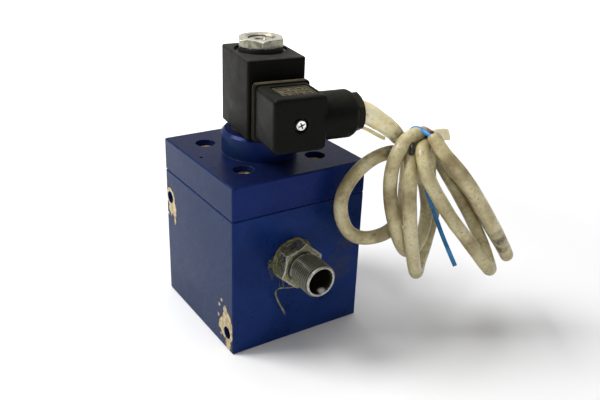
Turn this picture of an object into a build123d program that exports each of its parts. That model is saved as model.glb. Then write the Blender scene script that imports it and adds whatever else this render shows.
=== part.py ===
from build123d import *
import os
from math import cos, sin, tan, radians

os.makedirs("parts", exist_ok=True)

# ---------------------------------------------------------------- dimensions (mm)
# The frame: origin at the middle of the block's underside, +Z up, the pipe
# fitting on the -Y face, the two mounting holes opening on the -X face.

block_side = 80.0
block_height = 77.8
cover_thickness = 18.4
cover_top = block_height + cover_thickness
edge_break = 0.6

# the valve's and the solenoid's common vertical axis
axis_x, axis_y = -2.0, 0.2
coil_turn = -8.3  # the coil stands turned on its tube by this many degrees

# mounting holes through the block along X
mount_hole_r = 3.5
mount_hole_1 = (35.0, 61.9)  # y, z
mount_hole_2 = (-33.6, 10.3)

# cover screws, M6
screw_pitch = 43.4
screw_head_r, screw_head_h = 5.0, 6.0
counterbore_r, counterbore_floor = 5.5, 87.0
screw_r, screw_clear_r = 3.0, 3.3
screw_tip, screw_hole_end = 62.0, 59.0

# ports, G3/8 thread
port_r, port_depth = 8.33, 13.0
passage_r = 6.0
inlet_x, inlet_z = -4.6, 48.6
outlet_z = 21.0

# main valve
chamber_r, chamber_floor = 17.0, 40.0
insert_r, insert_bottom, seat_top, seat_bore_r, seat_lip_r = 12.0, 28.0, 43.0, 6.5, 9.5
piston_r, piston_bottom, piston_guide, piston_top = 16.95, 46.2, 56.0, 68.0
ring_low, ring_high, ring_root_r = 60.0, 63.0, 14.0
pocket_r, pocket_floor = 7.6, 60.0
piston_lift = 6.0

# pilot
boss_r, boss_height = 20.5, 12.5
boss_top = cover_top + boss_height
tube_thread_r, tube_bore_floor = 11.0, 97.0
pilot_chamber_r, pilot_chamber_floor = 9.0, 93.0
nozzle_r, nozzle_floor, nozzle_tip = 4.0, 85.0, 100.0
drain_r, drain_z, drain_y = 1.2, 83.5, 25.2

# core tube and armature
tube_r, tube_bore_r, tube_top = 7.0, 5.06, 150.2
armature_r, armature_bottom, armature_top = 5.0, 101.6, 131.3
armature_lift = 1.9
core_bottom = 133.3
stud_top = 156.0

# coil
coil_bottom, coil_top = 110.2, 151.1
coil_half = 15.55
coil_front, coil_back = -22.2, 16.4
coil_bore_r = 7.2
winding_r, winding_low, winding_high = 12.8, 116.2, 145.0

# nut on the tube
washer_r, washer_h = 11.3, 3.4
nut_flats, nut_h, nut_angle = 22.0, 4.3, -115.3
recess_r, recess_depth = 13.6, 1.4
thread_m14_r = 7.0

# connector
conn_half, conn_low, conn_high = 13.91, 112.9, 140.4
conn_back, conn_front = -29.2, -52.5
platform_front = -26.2
gasket_half, gasket_low, gasket_high = 14.9, 111.6, 141.5
conn_mid = (conn_low + conn_high) / 2
outlet_v, outlet_mid = -41.3, 126.4
outlet_r, outlet_end = 12.0, 31.5
gland_flats, gland_end = 18.0, 35.7

# pipe fitting, 12 mm light series: M18x1.5, hexagon 22
collar_r, collar_h = 11.0, 2.5
fit_flats, hex_end = 22.0, 10.7
fit_thread_r, fit_end = 9.0, 27.4
fit_bore_r, fit_socket_r, cone_mouth_r = 5.0, 6.05, 7.1

# cable
cable_r = 3.65
core_r = 1.2

# ---------------------------------------------------------------- planes
up = Plane(origin=(axis_x, axis_y, 0), x_dir=(1, 0, 0), z_dir=(0, 0, 1))
u_dir = Vector(cos(radians(coil_turn)), sin(radians(coil_turn)), 0)
v_dir = Vector(-sin(radians(coil_turn)), cos(radians(coil_turn)), 0)
coil = Plane(origin=(axis_x, axis_y, 0), x_dir=u_dir, z_dir=(0, 0, 1))
inlet = Plane(
    origin=(inlet_x, -block_side / 2, inlet_z), x_dir=(1, 0, 0), z_dir=(0, -1, 0)
)
outlet = Plane(
    origin=(axis_x, block_side / 2, outlet_z), x_dir=(-1, 0, 0), z_dir=(0, 1, 0)
)
left = Plane(origin=(-block_side / 2, 0, 0), x_dir=(0, -1, 0), z_dir=(-1, 0, 0))
# connector planes: local x along u, local y up, normal towards the connector's front
face = Plane(origin=(axis_x, axis_y, 0), x_dir=u_dir, z_dir=-v_dir)
conn_face = Plane(
    origin=Vector(axis_x, axis_y, conn_mid), x_dir=u_dir, z_dir=-v_dir
)
side = Plane(
    origin=Vector(axis_x, axis_y, outlet_mid) + v_dir * outlet_v,
    x_dir=v_dir,
    z_dir=u_dir,
)


def disc(plane, start, radius, height, mode=Mode.ADD):
    """A cylinder on a plane's normal, from start upwards."""
    with BuildSketch(plane.offset(start)) as section:
        Circle(radius)
    extrude(section.sketch, amount=height, mode=mode)


def turned(plane, profile, mode=Mode.ADD):
    """A body of revolution about a plane's normal; profile is (radius, height)."""
    half = Plane(origin=plane.origin, x_dir=plane.x_dir, z_dir=-plane.y_dir)
    with BuildSketch(half) as section:
        with BuildLine():
            Polyline(*profile, close=True)
        make_face()
    revolve(section.sketch, axis=Axis(plane.origin, plane.z_dir), mode=mode)


def ring(plane, height, major, minor):
    """A round-section ring about a plane's normal."""
    half = Plane(origin=plane.origin, x_dir=plane.x_dir, z_dir=-plane.y_dir)
    with BuildSketch(half) as section:
        with Locations((major, height)):
            Circle(minor)
    revolve(section.sketch, axis=Axis(plane.origin, plane.z_dir))


def finish(part, name):
    part.label = name
    export_step(part, f"parts/{name}.step")


# ---------------------------------------------------------------- body block
with BuildPart() as body_block:
    with BuildSketch(Plane.XY):
        Rectangle(block_side, block_side)
    extrude(amount=block_height)
    chamfer(body_block.edges(), edge_break)
    # chamber, seat bore and outlet pocket
    disc(up, chamber_floor, chamber_r, block_height - chamber_floor, Mode.SUBTRACT)
    disc(up, insert_bottom, insert_r, chamber_floor - insert_bottom, Mode.SUBTRACT)
    disc(up, outlet_z - passage_r, 8.0, insert_bottom - outlet_z + passage_r, Mode.SUBTRACT)
    # inlet and outlet ports with their passages
    disc(inlet, -port_depth, port_r, port_depth, Mode.SUBTRACT)
    disc(inlet, -35.0, passage_r, 35.0, Mode.SUBTRACT)
    disc(outlet, -port_depth, port_r, port_depth, Mode.SUBTRACT)
    disc(outlet, -39.0, passage_r, 39.0, Mode.SUBTRACT)
    # mounting holes along X
    with BuildSketch(left.offset(1.0)):
        with Locations(
            (-mount_hole_1[0], mount_hole_1[1]), (-mount_hole_2[0], mount_hole_2[1])
        ):
            Circle(mount_hole_r)
    extrude(amount=-(block_side + 2.0), mode=Mode.SUBTRACT)
    # tapped holes for the cover screws
    with BuildSketch(up.offset(screw_hole_end)):
        with GridLocations(screw_pitch, screw_pitch, 2, 2):
            Circle(screw_r)
    extrude(amount=block_height - screw_hole_end, mode=Mode.SUBTRACT)
    # pilot drain down to the outlet
    with BuildSketch(up.offset(outlet_z)):
        with Locations((0, drain_y)):
            Circle(drain_r)
    extrude(amount=block_height - outlet_z, mode=Mode.SUBTRACT)
finish(body_block.part, "body_block")

# ---------------------------------------------------------------- cover
with BuildPart() as cover:
    with BuildSketch(Plane.XY.offset(block_height)):
        Rectangle(block_side, block_side)
    extrude(amount=cover_thickness)
    chamfer(cover.edges(), edge_break)
    turned(
        up,
        [
            (0, cover_top - 1),
            (boss_r, cover_top - 1),
            (boss_r, boss_top - 1.5),
            (boss_r - 1.5, boss_top),
            (0, boss_top),
        ],
    )
    with BuildSketch(up.offset(counterbore_floor)):
        with GridLocations(screw_pitch, screw_pitch, 2, 2):
            Circle(counterbore_r)
    extrude(amount=30, mode=Mode.SUBTRACT)
    with BuildSketch(up.offset(block_height)):
        with GridLocations(screw_pitch, screw_pitch, 2, 2):
            Circle(screw_clear_r)
    extrude(amount=20, mode=Mode.SUBTRACT)
    # tube thread, pilot chamber and nozzle bore
    disc(up, tube_bore_floor, tube_thread_r, 20, Mode.SUBTRACT)
    disc(up, pilot_chamber_floor, pilot_chamber_r, 5, Mode.SUBTRACT)
    disc(up, nozzle_floor, nozzle_r, 9, Mode.SUBTRACT)
    # feed to the pilot chamber, drain across to the block
    with BuildSketch(up.offset(block_height)):
        with Locations((-6.5, 0)):
            Circle(drain_r)
    extrude(amount=pilot_chamber_floor - block_height, mode=Mode.SUBTRACT)
    disc(up, drain_z, drain_r, nozzle_floor - drain_z, Mode.SUBTRACT)
    with BuildSketch(Plane(origin=(axis_x, axis_y, drain_z), x_dir=(1, 0, 0), z_dir=(0, -1, 0))):
        Circle(drain_r)
    extrude(amount=-(block_side / 2 - axis_y), mode=Mode.SUBTRACT)
    with BuildSketch(Plane(origin=(axis_x, 32.0, drain_z), x_dir=(1, 0, 0), z_dir=(0, -1, 0))):
        Circle(2.5)
    extrude(amount=-8.0, mode=Mode.SUBTRACT)
    with BuildSketch(up.offset(block_height)):
        with Locations((0, drain_y)):
            Circle(drain_r)
    extrude(amount=drain_z - block_height, mode=Mode.SUBTRACT)
    # ring grooves and the spring's seat in the underside
    with BuildSketch(up.offset(block_height)):
        Circle(20.9)
        Circle(18.3, mode=Mode.SUBTRACT)
    extrude(amount=1.9, mode=Mode.SUBTRACT)
    with BuildSketch(up.offset(block_height)):
        with Locations((0, drain_y)):
            Circle(3.4)
    extrude(amount=1.1, mode=Mode.SUBTRACT)
    disc(up, block_height, 8.0, 2.0, Mode.SUBTRACT)
    # small blind dowel hole in the top
    with BuildSketch(Plane.XY.offset(cover_top)):
        with Locations((-35.0, 3.6)):
            Circle(1.0)
    extrude(amount=-2.0, mode=Mode.SUBTRACT)
finish(cover.part, "cover")

with BuildPart() as cover_screws:
    with BuildSketch(up.offset(counterbore_floor)):
        with GridLocations(screw_pitch, screw_pitch, 2, 2):
            Circle(screw_head_r)
    extrude(amount=screw_head_h)
    with BuildSketch(up.offset(screw_tip)):
        with GridLocations(screw_pitch, screw_pitch, 2, 2):
            Circle(screw_r)
    extrude(amount=counterbore_floor - screw_tip)
    with BuildSketch(up.offset(counterbore_floor + screw_head_h)):
        with GridLocations(screw_pitch, screw_pitch, 2, 2):
            RegularPolygon(2.5, 6, major_radius=False)
    extrude(amount=-3.0, mode=Mode.SUBTRACT)
finish(cover_screws.part, "cover_screws")

with BuildPart() as cover_o_ring:
    ring(up, block_height + 0.95, 19.6, 0.94)
finish(cover_o_ring.part, "cover_o_ring")

with BuildPart() as passage_o_ring:
    ring(
        Plane(origin=(axis_x, axis_y + drain_y, 0), x_dir=(1, 0, 0), z_dir=(0, 0, 1)),
        block_height + 0.55,
        2.4,
        0.54,
    )
finish(passage_o_ring.part, "passage_o_ring")

with BuildPart() as passage_plug:
    with BuildSketch(Plane(origin=(axis_x, 33.0, drain_z), x_dir=(-1, 0, 0), z_dir=(0, 1, 0))):
        Circle(2.5)
    extrude(amount=6.4)
    with BuildSketch(Plane(origin=(axis_x, 39.4, drain_z), x_dir=(-1, 0, 0), z_dir=(0, 1, 0))):
        RegularPolygon(1.25, 6, major_radius=False)
    extrude(amount=-2.5, mode=Mode.SUBTRACT)
finish(passage_plug.part, "passage_plug")

# ---------------------------------------------------------------- pipe fitting
with BuildPart() as inlet_fitting:
    with BuildSketch(inlet.offset(collar_h)):
        RegularPolygon(fit_flats / 2, 6, major_radius=False, rotation=79.0)
    extrude(amount=hex_end - collar_h)
    turned(
        inlet,
        [
            (0, collar_h),
            (11.6, collar_h),
            (12.75, collar_h + 1.0),
            (12.75, hex_end - 1.0),
            (11.3, hex_end),
            (0, hex_end),
        ],
        Mode.INTERSECT,
    )
    turned(
        inlet,
        [
            (0, -12.0),
            (port_r - 1.0, -12.0),
            (port_r, -11.0),
            (port_r, 0.0),
            (collar_r, 0.0),
            (collar_r, collar_h),
            (7.4, hex_end),
            (7.4, hex_end + 2.0),
            (fit_thread_r, hex_end + 3.2),
            (fit_thread_r, fit_end - 1.0),
            (fit_thread_r - 1.0, fit_end),
            (0, fit_end),
        ],
    )
    turned(
        inlet,
        [
            (0, -12.5),
            (fit_bore_r, -12.5),
            (fit_bore_r, fit_end - 11.0),
            (fit_socket_r, fit_end - 11.0),
            (fit_socket_r, fit_end - 4.94),
            (cone_mouth_r, fit_end),
            (cone_mouth_r, fit_end + 1.0),
            (0, fit_end + 1.0),
        ],
        Mode.SUBTRACT,
    )
finish(inlet_fitting.part, "inlet_fitting")

with BuildPart() as thread_sealant:
    with BuildSketch(inlet):
        Circle(12.4)
        Circle(collar_r, mode=Mode.SUBTRACT)
    extrude(amount=1.0)
finish(thread_sealant.part, "thread_sealant")

# ---------------------------------------------------------------- main valve
with BuildPart() as seat_insert:
    turned(
        up,
        [
            (seat_bore_r, insert_bottom),
            (insert_r, insert_bottom),
            (insert_r, chamber_floor),
            (seat_lip_r, chamber_floor),
            (seat_lip_r - 1.2, seat_top),
            (seat_bore_r, seat_top),
        ],
    )
finish(seat_insert.part, "seat_insert")

with BuildPart() as main_piston:
    turned(
        up,
        [
            (0, piston_bottom),
            (10.0, piston_bottom),
            (10.0, piston_guide),
            (piston_r - 0.6, piston_guide),
            (piston_r, piston_guide + 0.6),
            (piston_r, ring_low),
            (ring_root_r, ring_low),
            (ring_root_r, ring_high),
            (piston_r, ring_high),
            (piston_r, piston_top - 0.6),
            (piston_r - 0.6, piston_top),
            (pocket_r, piston_top),
            (pocket_r, pocket_floor),
            (0, pocket_floor),
        ],
    )
    disc(up, piston_bottom, 2.0, 10.5, Mode.SUBTRACT)
    with BuildSketch(up.offset(piston_guide)):
        with Locations((12.0, 0)):
            Circle(0.6)
    extrude(amount=piston_top - piston_guide, mode=Mode.SUBTRACT)
finish(main_piston.part, "main_piston")

with BuildPart() as piston_ring:
    with BuildSketch(up.offset(ring_low + 0.05)):
        Circle(piston_r - 0.02)
        Circle(ring_root_r + 0.05, mode=Mode.SUBTRACT)
    extrude(amount=ring_high - ring_low - 0.1)
finish(piston_ring.part, "piston_ring")

with BuildPart() as piston_seal:
    with BuildSketch(up.offset(seat_top + 0.05)):
        Circle(9.4)
        Circle(2.0, mode=Mode.SUBTRACT)
    extrude(amount=piston_bottom - seat_top - 0.05)
finish(piston_seal.part, "piston_seal")

with BuildPart() as seal_washer:
    with BuildSketch(up.offset(seat_top - 0.75)):
        Circle(5.2)
        Circle(2.0, mode=Mode.SUBTRACT)
    extrude(amount=0.8)
finish(seal_washer.part, "seal_washer")

with BuildPart() as seal_screw:
    turned(
        up,
        [
            (0, seat_top - 3.25),
            (3.2, seat_top - 3.25),
            (3.5, seat_top - 2.9),
            (3.5, seat_top - 0.75),
            (2.0, seat_top - 0.75),
            (2.0, piston_bottom + 9.0),
            (0, piston_bottom + 9.0),
        ],
    )
    with BuildSketch(up.offset(seat_top - 3.25)):
        RegularPolygon(1.5, 6, major_radius=False)
    extrude(amount=1.4, mode=Mode.SUBTRACT)
finish(seal_screw.part, "seal_screw")

spring_low, spring_high = pocket_floor + 0.05, block_height + 1.95
with BuildPart() as main_spring:
    with BuildLine(up.offset(spring_low + 0.75)):
        Helix(
            pitch=(spring_high - spring_low - 1.5) / 5.0,
            height=spring_high - spring_low - 1.5,
            radius=6.2,
        )
    with BuildSketch(
        Plane(
            origin=(axis_x + 6.2, axis_y, spring_low + 0.75),
            x_dir=(1, 0, 0),
            z_dir=(0, 1, 0),
        )
    ):
        Circle(0.7)
    sweep(is_frenet=True)
finish(main_spring.part, "main_spring")

# ---------------------------------------------------------------- pilot
with BuildPart() as pilot_nozzle:
    turned(
        up,
        [
            (1.0, nozzle_floor),
            (nozzle_r, nozzle_floor),
            (nozzle_r, 95.0),
            (2.4, 95.0),
            (1.7, nozzle_tip),
            (1.0, nozzle_tip),
        ],
    )
finish(pilot_nozzle.part, "pilot_nozzle")

with BuildPart() as armature:
    turned(
        up,
        [
            (3.0, armature_bottom),
            (6.8, armature_bottom),
            (6.8, armature_bottom + 1.8),
            (armature_r, armature_bottom + 1.8),
            (armature_r, armature_top - 0.5),
            (armature_r - 0.5, armature_top),
            (0, armature_top),
            (0, 104.0),
            (3.0, 104.0),
        ],
    )
    with BuildSketch(up.offset(armature_bottom + 2.5)):
        with PolarLocations(armature_r, 2):
            Rectangle(1.6, 1.5)
    extrude(amount=40, mode=Mode.SUBTRACT)
finish(armature.part, "armature")

with BuildPart() as armature_seal:
    disc(up, nozzle_tip + 0.05, 3.0, 104.0 - nozzle_tip - 0.05)
finish(armature_seal.part, "armature_seal")

with BuildPart() as core_tube:
    turned(
        up,
        [
            (7.6, 99.2),
            (tube_thread_r - 0.8, 99.2),
            (tube_thread_r, 100.0),
            (tube_thread_r, boss_top),
            (13.0, boss_top),
            (13.0, coil_bottom),
            (tube_r, coil_bottom),
            (tube_r, tube_top),
            (tube_bore_r, tube_top),
            (tube_bore_r, 108.5),
            (7.6, 108.5),
        ],
    )
finish(core_tube.part, "core_tube")

with BuildPart() as tube_o_ring:
    ring(up, 98.1, 9.9, 1.04)
finish(tube_o_ring.part, "tube_o_ring")

with BuildPart() as fixed_core:
    turned(
        up,
        [
            (0, core_bottom),
            (3.0, core_bottom),
            (3.0, core_bottom + 1.5),
            (4.2, core_bottom + 1.5),
            (4.2, core_bottom),
            (tube_bore_r, core_bottom),
            (tube_bore_r, tube_top),
            (thread_m14_r, tube_top),
            (thread_m14_r, stud_top - 0.8),
            (thread_m14_r - 0.8, stud_top),
            (3.2, stud_top),
            (2.6, stud_top - 1.0),
            (0, stud_top - 1.0),
        ],
    )
finish(fixed_core.part, "fixed_core")

with BuildPart() as shading_ring:
    with BuildSketch(up.offset(core_bottom)):
        Circle(4.2)
        Circle(3.0, mode=Mode.SUBTRACT)
    extrude(amount=1.5)
finish(shading_ring.part, "shading_ring")

small_low, small_high = armature_bottom + 1.85, 108.45
with BuildPart() as armature_spring:
    with BuildLine(up.offset(small_low + 0.4)):
        Helix(
            pitch=(small_high - small_low - 0.8) / 3.0,
            height=small_high - small_low - 0.8,
            radius=6.3,
        )
    with BuildSketch(
        Plane(
            origin=(axis_x + 6.3, axis_y, small_low + 0.4),
            x_dir=(1, 0, 0),
            z_dir=(0, 1, 0),
        )
    ):
        Circle(0.35)
    sweep(is_frenet=True)
finish(armature_spring.part, "armature_spring")

# ---------------------------------------------------------------- coil
with BuildPart() as coil_bobbin:
    turned(
        up,
        [
            (coil_bore_r, 115.0),
            (13.0, 115.0),
            (13.0, winding_low),
            (8.0, winding_low),
            (8.0, winding_high),
            (13.0, winding_high),
            (13.0, 146.2),
            (coil_bore_r, 146.2),
        ],
    )
finish(coil_bobbin.part, "coil_bobbin")

with BuildPart() as coil_winding:
    with BuildSketch(up.offset(winding_low)):
        Circle(winding_r)
        Circle(8.0, mode=Mode.SUBTRACT)
    extrude(amount=winding_high - winding_low)
finish(coil_winding.part, "coil_winding")

with BuildPart() as coil_yoke:
    for low in (112.0, 146.2):
        with BuildSketch(coil.offset(low)):
            with Locations((0, 1.6)):
                Rectangle(22, 26.8)
            Circle(coil_bore_r, mode=Mode.SUBTRACT)
        extrude(amount=3.0)
    with BuildSketch(coil.offset(112.0)):
        with Locations((0, 14.1)):
            Rectangle(22, 1.8)
    extrude(amount=37.2)
finish(coil_yoke.part, "coil_yoke")

coil_mid = (coil_front + coil_back) / 2
with BuildPart() as coil_housing:
    with BuildSketch(coil.offset(coil_bottom)):
        with Locations((0, coil_mid)):
            RectangleRounded(2 * coil_half, coil_back - coil_front, 2.4)
    extrude(amount=coil_top - coil_bottom)
    chamfer(coil_housing.faces().sort_by(Axis.Z)[0].edges(), 0.8)
    chamfer(coil_housing.faces().sort_by(Axis.Z)[-1].edges(), 0.8)
    with BuildSketch(conn_face.offset(-coil_front)):
        RectangleRounded(2 * 12.9, 2 * 12.75, 2.0)
    extrude(amount=-platform_front + coil_front)
    disc(coil, coil_bottom, coil_bore_r, coil_top - coil_bottom, Mode.SUBTRACT)
    disc(coil, coil_top - recess_depth, recess_r, recess_depth + 1.0, Mode.SUBTRACT)
    disc(coil, 115.0, 13.0, 31.2, Mode.SUBTRACT)
    for low in (112.0, 146.2):
        with BuildSketch(coil.offset(low)):
            with Locations((0, 1.6)):
                Rectangle(22, 26.8)
        extrude(amount=3.0, mode=Mode.SUBTRACT)
    with BuildSketch(coil.offset(112.0)):
        with Locations((0, 14.1)):
            Rectangle(22, 1.8)
    extrude(amount=37.2, mode=Mode.SUBTRACT)
    # slots for the terminals and the tapped hole for the connector's screw
    with BuildSketch(conn_face.offset(17.0)):
        with Locations((-9.0, 0), (9.0, 0)):
            Rectangle(0.8, 6.3)
        with Locations((0, -9.0)):
            Rectangle(6.3, 0.8)
    extrude(amount=12.0, mode=Mode.SUBTRACT)
    with BuildSketch(conn_face.offset(18.0)):
        Circle(1.5)
    extrude(amount=12.0, mode=Mode.SUBTRACT)
finish(coil_housing.part, "coil_housing")

with BuildPart() as coil_terminals:
    with BuildSketch(conn_face.offset(17.0)):
        with Locations((-9.0, 0), (9.0, 0)):
            Rectangle(0.8, 6.3)
        with Locations((0, -9.0)):
            Rectangle(6.3, 0.8)
    extrude(amount=19.0)
finish(coil_terminals.part, "coil_terminals")

with BuildPart() as base_seal:
    with BuildSketch(up.offset(boss_top)):
        Circle(15.2)
        Circle(13.2, mode=Mode.SUBTRACT)
    extrude(amount=coil_bottom - boss_top)
finish(base_seal.part, "base_seal")

with BuildPart() as coil_washer:
    with BuildSketch(up.offset(coil_top - recess_depth)):
        Circle(washer_r)
        Circle(7.3, mode=Mode.SUBTRACT)
    extrude(amount=washer_h)
    fillet(coil_washer.edges().group_by(Axis.Z)[-1], 0.6)
finish(coil_washer.part, "coil_washer")

nut_low = coil_top - recess_depth + washer_h
with BuildPart() as coil_nut:
    with BuildSketch(up.offset(nut_low)):
        RegularPolygon(nut_flats / 2, 6, major_radius=False, rotation=nut_angle)
    extrude(amount=nut_h)
    turned(
        up,
        [
            (thread_m14_r, nut_low),
            (11.9, nut_low),
            (12.75, nut_low + 0.6),
            (12.75, nut_low + nut_h - 0.8),
            (11.4, nut_low + nut_h),
            (thread_m14_r + 0.6, nut_low + nut_h),
            (thread_m14_r, nut_low + nut_h - 0.6),
        ],
        Mode.INTERSECT,
    )
finish(coil_nut.part, "coil_nut")

# ---------------------------------------------------------------- connector
with BuildPart() as connector_gasket:
    with BuildSketch(face.offset(-platform_front)):
        with Locations((0, (gasket_low + gasket_high) / 2)):
            RectangleRounded(2 * gasket_half, gasket_high - gasket_low, 2.4)
        with Locations((-9.0, conn_mid), (9.0, conn_mid)):
            Rectangle(1.4, 7.0, mode=Mode.SUBTRACT)
        with Locations((0, conn_mid - 9.0)):
            Rectangle(7.0, 1.4, mode=Mode.SUBTRACT)
        with Locations((0, conn_mid)):
            Circle(1.9, mode=Mode.SUBTRACT)
    extrude(amount=platform_front - conn_back)
finish(connector_gasket.part, "connector_gasket")

carrier_back = -conn_back + 0.2
with BuildPart() as contact_carrier:
    with BuildSketch(conn_face.offset(carrier_back)):
        RectangleRounded(22.0, 22.0, 1.5)
        Circle(2.6, mode=Mode.SUBTRACT)
        with Locations((-9.0, 0), (9.0, 0)):
            Rectangle(3.0, 8.0, mode=Mode.SUBTRACT)
        with Locations((0, -8.4)):
            Rectangle(8.0, 3.0, mode=Mode.SUBTRACT)
    extrude(amount=11.0)
    with BuildSketch(conn_face.offset(carrier_back + 11.0)):
        RectangleRounded(22.0, 22.0, 1.5)
        Circle(2.6, mode=Mode.SUBTRACT)
    extrude(amount=2.5)
finish(contact_carrier.part, "contact_carrier")

with BuildPart() as contact_sockets:
    with BuildSketch(conn_face.offset(carrier_back + 0.5)):
        with Locations((-9.0, 0), (9.0, 0)):
            Rectangle(2.4, 7.4)
            Rectangle(0.9, 6.5, mode=Mode.SUBTRACT)
    extrude(amount=8.5)
    with BuildSketch(conn_face.offset(carrier_back + 0.5)):
        with Locations((0, -8.4)):
            Rectangle(7.4, 2.4)
        with Locations((0, -9.0)):
            Rectangle(6.5, 0.9, mode=Mode.SUBTRACT)
    extrude(amount=8.5)
    with BuildSketch(conn_face.offset(carrier_back + 9.0)):
        with Locations((-9.0, 0), (9.0, 0)):
            Rectangle(2.4, 7.4)
        with Locations((0, -8.4)):
            Rectangle(7.4, 2.4)
    extrude(amount=1.5)
finish(contact_sockets.part, "contact_sockets")

with BuildPart() as connector_housing:
    with BuildSketch(face.offset(-conn_back)):
        with Locations((0, conn_mid)):
            RectangleRounded(2 * conn_half, conn_high - conn_low, 2.6)
    extrude(amount=conn_back - conn_front)
    chamfer(connector_housing.faces().sort_by(Axis(face.origin, face.z_dir))[-1].edges(), 1.0)
    turned(
        side,
        [
            (0, conn_half - 3.0),
            (outlet_r, conn_half - 3.0),
            (outlet_r, outlet_end - 2.6),
            (outlet_r - 1.6, outlet_end),
            (0, outlet_end),
        ],
    )
    # hollow behind for the carrier, wiring space in front of it
    with BuildSketch(conn_face.offset(-conn_back)):
        RectangleRounded(22.4, 22.4, 1.6)
    extrude(amount=19.6, mode=Mode.SUBTRACT)
    # cable bore with a wider mouth for the grommet
    disc(side, 9.0, 4.6, 40.0, Mode.SUBTRACT)
    disc(side, 17.5, 8.2, 20.0, Mode.SUBTRACT)
    # screw boss, its bore and the recess round its head
    with BuildSketch(conn_face.offset(carrier_back + 13.7)):
        Circle(4.2)
    extrude(amount=-conn_front - carrier_back - 13.7)
    disc(conn_face, 30.0, 1.7, 40.0, Mode.SUBTRACT)
    disc(conn_face, -conn_front - 2.4, 3.9, 5.0, Mode.SUBTRACT)
finish(connector_housing.part, "connector_housing")

with BuildPart() as screw_seal:
    with BuildSketch(conn_face.offset(-conn_front - 2.4)):
        Circle(3.2)
        Circle(1.6, mode=Mode.SUBTRACT)
    extrude(amount=0.7)
finish(screw_seal.part, "screw_seal")

head_base = -conn_front - 1.7
with BuildPart() as connector_screw:
    turned(
        conn_face,
        [
            (0, 22.0),
            (1.5, 22.0),
            (1.5, head_base),
            (2.9, head_base),
            (2.9, head_base + 1.1),
            (2.3, head_base + 1.8),
            (0, head_base + 2.0),
        ],
    )
    with BuildSketch(conn_face.offset(head_base + 2.0)):
        Rectangle(3.4, 0.7, rotation=20)
        Rectangle(0.7, 3.4, rotation=20)
    extrude(amount=-1.1, mode=Mode.SUBTRACT)
finish(connector_screw.part, "connector_screw")

with BuildPart() as terminal_screws:
    with BuildSketch(conn_face.offset(carrier_back + 13.5)):
        with Locations((-9.0, 5.5), (9.0, 5.5), (-6.0, -9.0)):
            Circle(1.4)
    extrude(amount=1.8)
    with BuildSketch(conn_face.offset(carrier_back + 15.3)):
        with Locations((-9.0, 5.5), (9.0, 5.5), (-6.0, -9.0)):
            Rectangle(2.9, 0.5)
    extrude(amount=-0.7, mode=Mode.SUBTRACT)
finish(terminal_screws.part, "terminal_screws")

with BuildPart() as gland_grommet:
    turned(
        side,
        [
            (cable_r, 18.0),
            (8.0, 18.0),
            (8.0, 29.0),
            (cable_r + 1.0, 29.0),
            (cable_r, 28.0),
        ],
    )
finish(gland_grommet.part, "gland_grommet")

with BuildPart() as gland_washer:
    with BuildSketch(side.offset(29.1)):
        Circle(8.0)
        Circle(4.6, mode=Mode.SUBTRACT)
    extrude(amount=0.9)
finish(gland_washer.part, "gland_washer")

with BuildPart() as gland_nut:
    with BuildSketch(side.offset(outlet_end)):
        RegularPolygon(gland_flats / 2, 6, major_radius=False, rotation=30)
    extrude(amount=gland_end - outlet_end)
    turned(
        side,
        [
            (0, outlet_end),
            (10.5, outlet_end),
            (10.5, gland_end - 0.9),
            (9.2, gland_end),
            (0, gland_end),
        ],
        Mode.INTERSECT,
    )
    disc(side, 30.1, 8.2, outlet_end - 30.1)
    disc(side, 30.0, 4.3, 12.0, Mode.SUBTRACT)
finish(gland_nut.part, "gland_nut")

# ---------------------------------------------------------------- cable
# The lead leaves the gland, droops to the tie and runs into the tied turns.
gland_mouth = side.origin + u_dir * gland_end
lead_route = [
    gland_mouth,
    gland_mouth + u_dir * 5.5,
    Vector(45.5, -52.5, 116),
    Vector(50.5, -52, 110.5),
    Vector(59.5, -50.5, 103.5),
]


def radii_of(route):
    """The largest tangent arcs that the runs allow."""
    points = [Vector(p) for p in route]
    found = []
    for a, b, c in zip(points, points[1:], points[2:]):
        turn = (b - a).get_angle(c - b)
        shorter = min((b - a).length, (c - b).length)
        found.append(0.45 * shorter / tan(radians(turn / 2)))
    return found


def tube(route, radius, hollow=0.0):
    """A round tube along a route of straight runs and tangent arcs."""
    points = [Vector(p) for p in route]
    start = Plane(origin=points[0], z_dir=points[1] - points[0])
    with BuildLine() as path:
        FilletPolyline(*points, radius=radii_of(route))
    with BuildSketch(start) as section:
        Circle(radius)
        if hollow:
            Circle(hollow, mode=Mode.SUBTRACT)
    sweep(section.sketch, path=path.line)


with BuildPart() as cable_lead:
    tube(lead_route, cable_r)
finish(cable_lead.part, "cable_lead")
print("cable_lead radii", [round(r, 1) for r in radii_of(lead_route)], "volume", round(cable_lead.part.volume))

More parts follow.
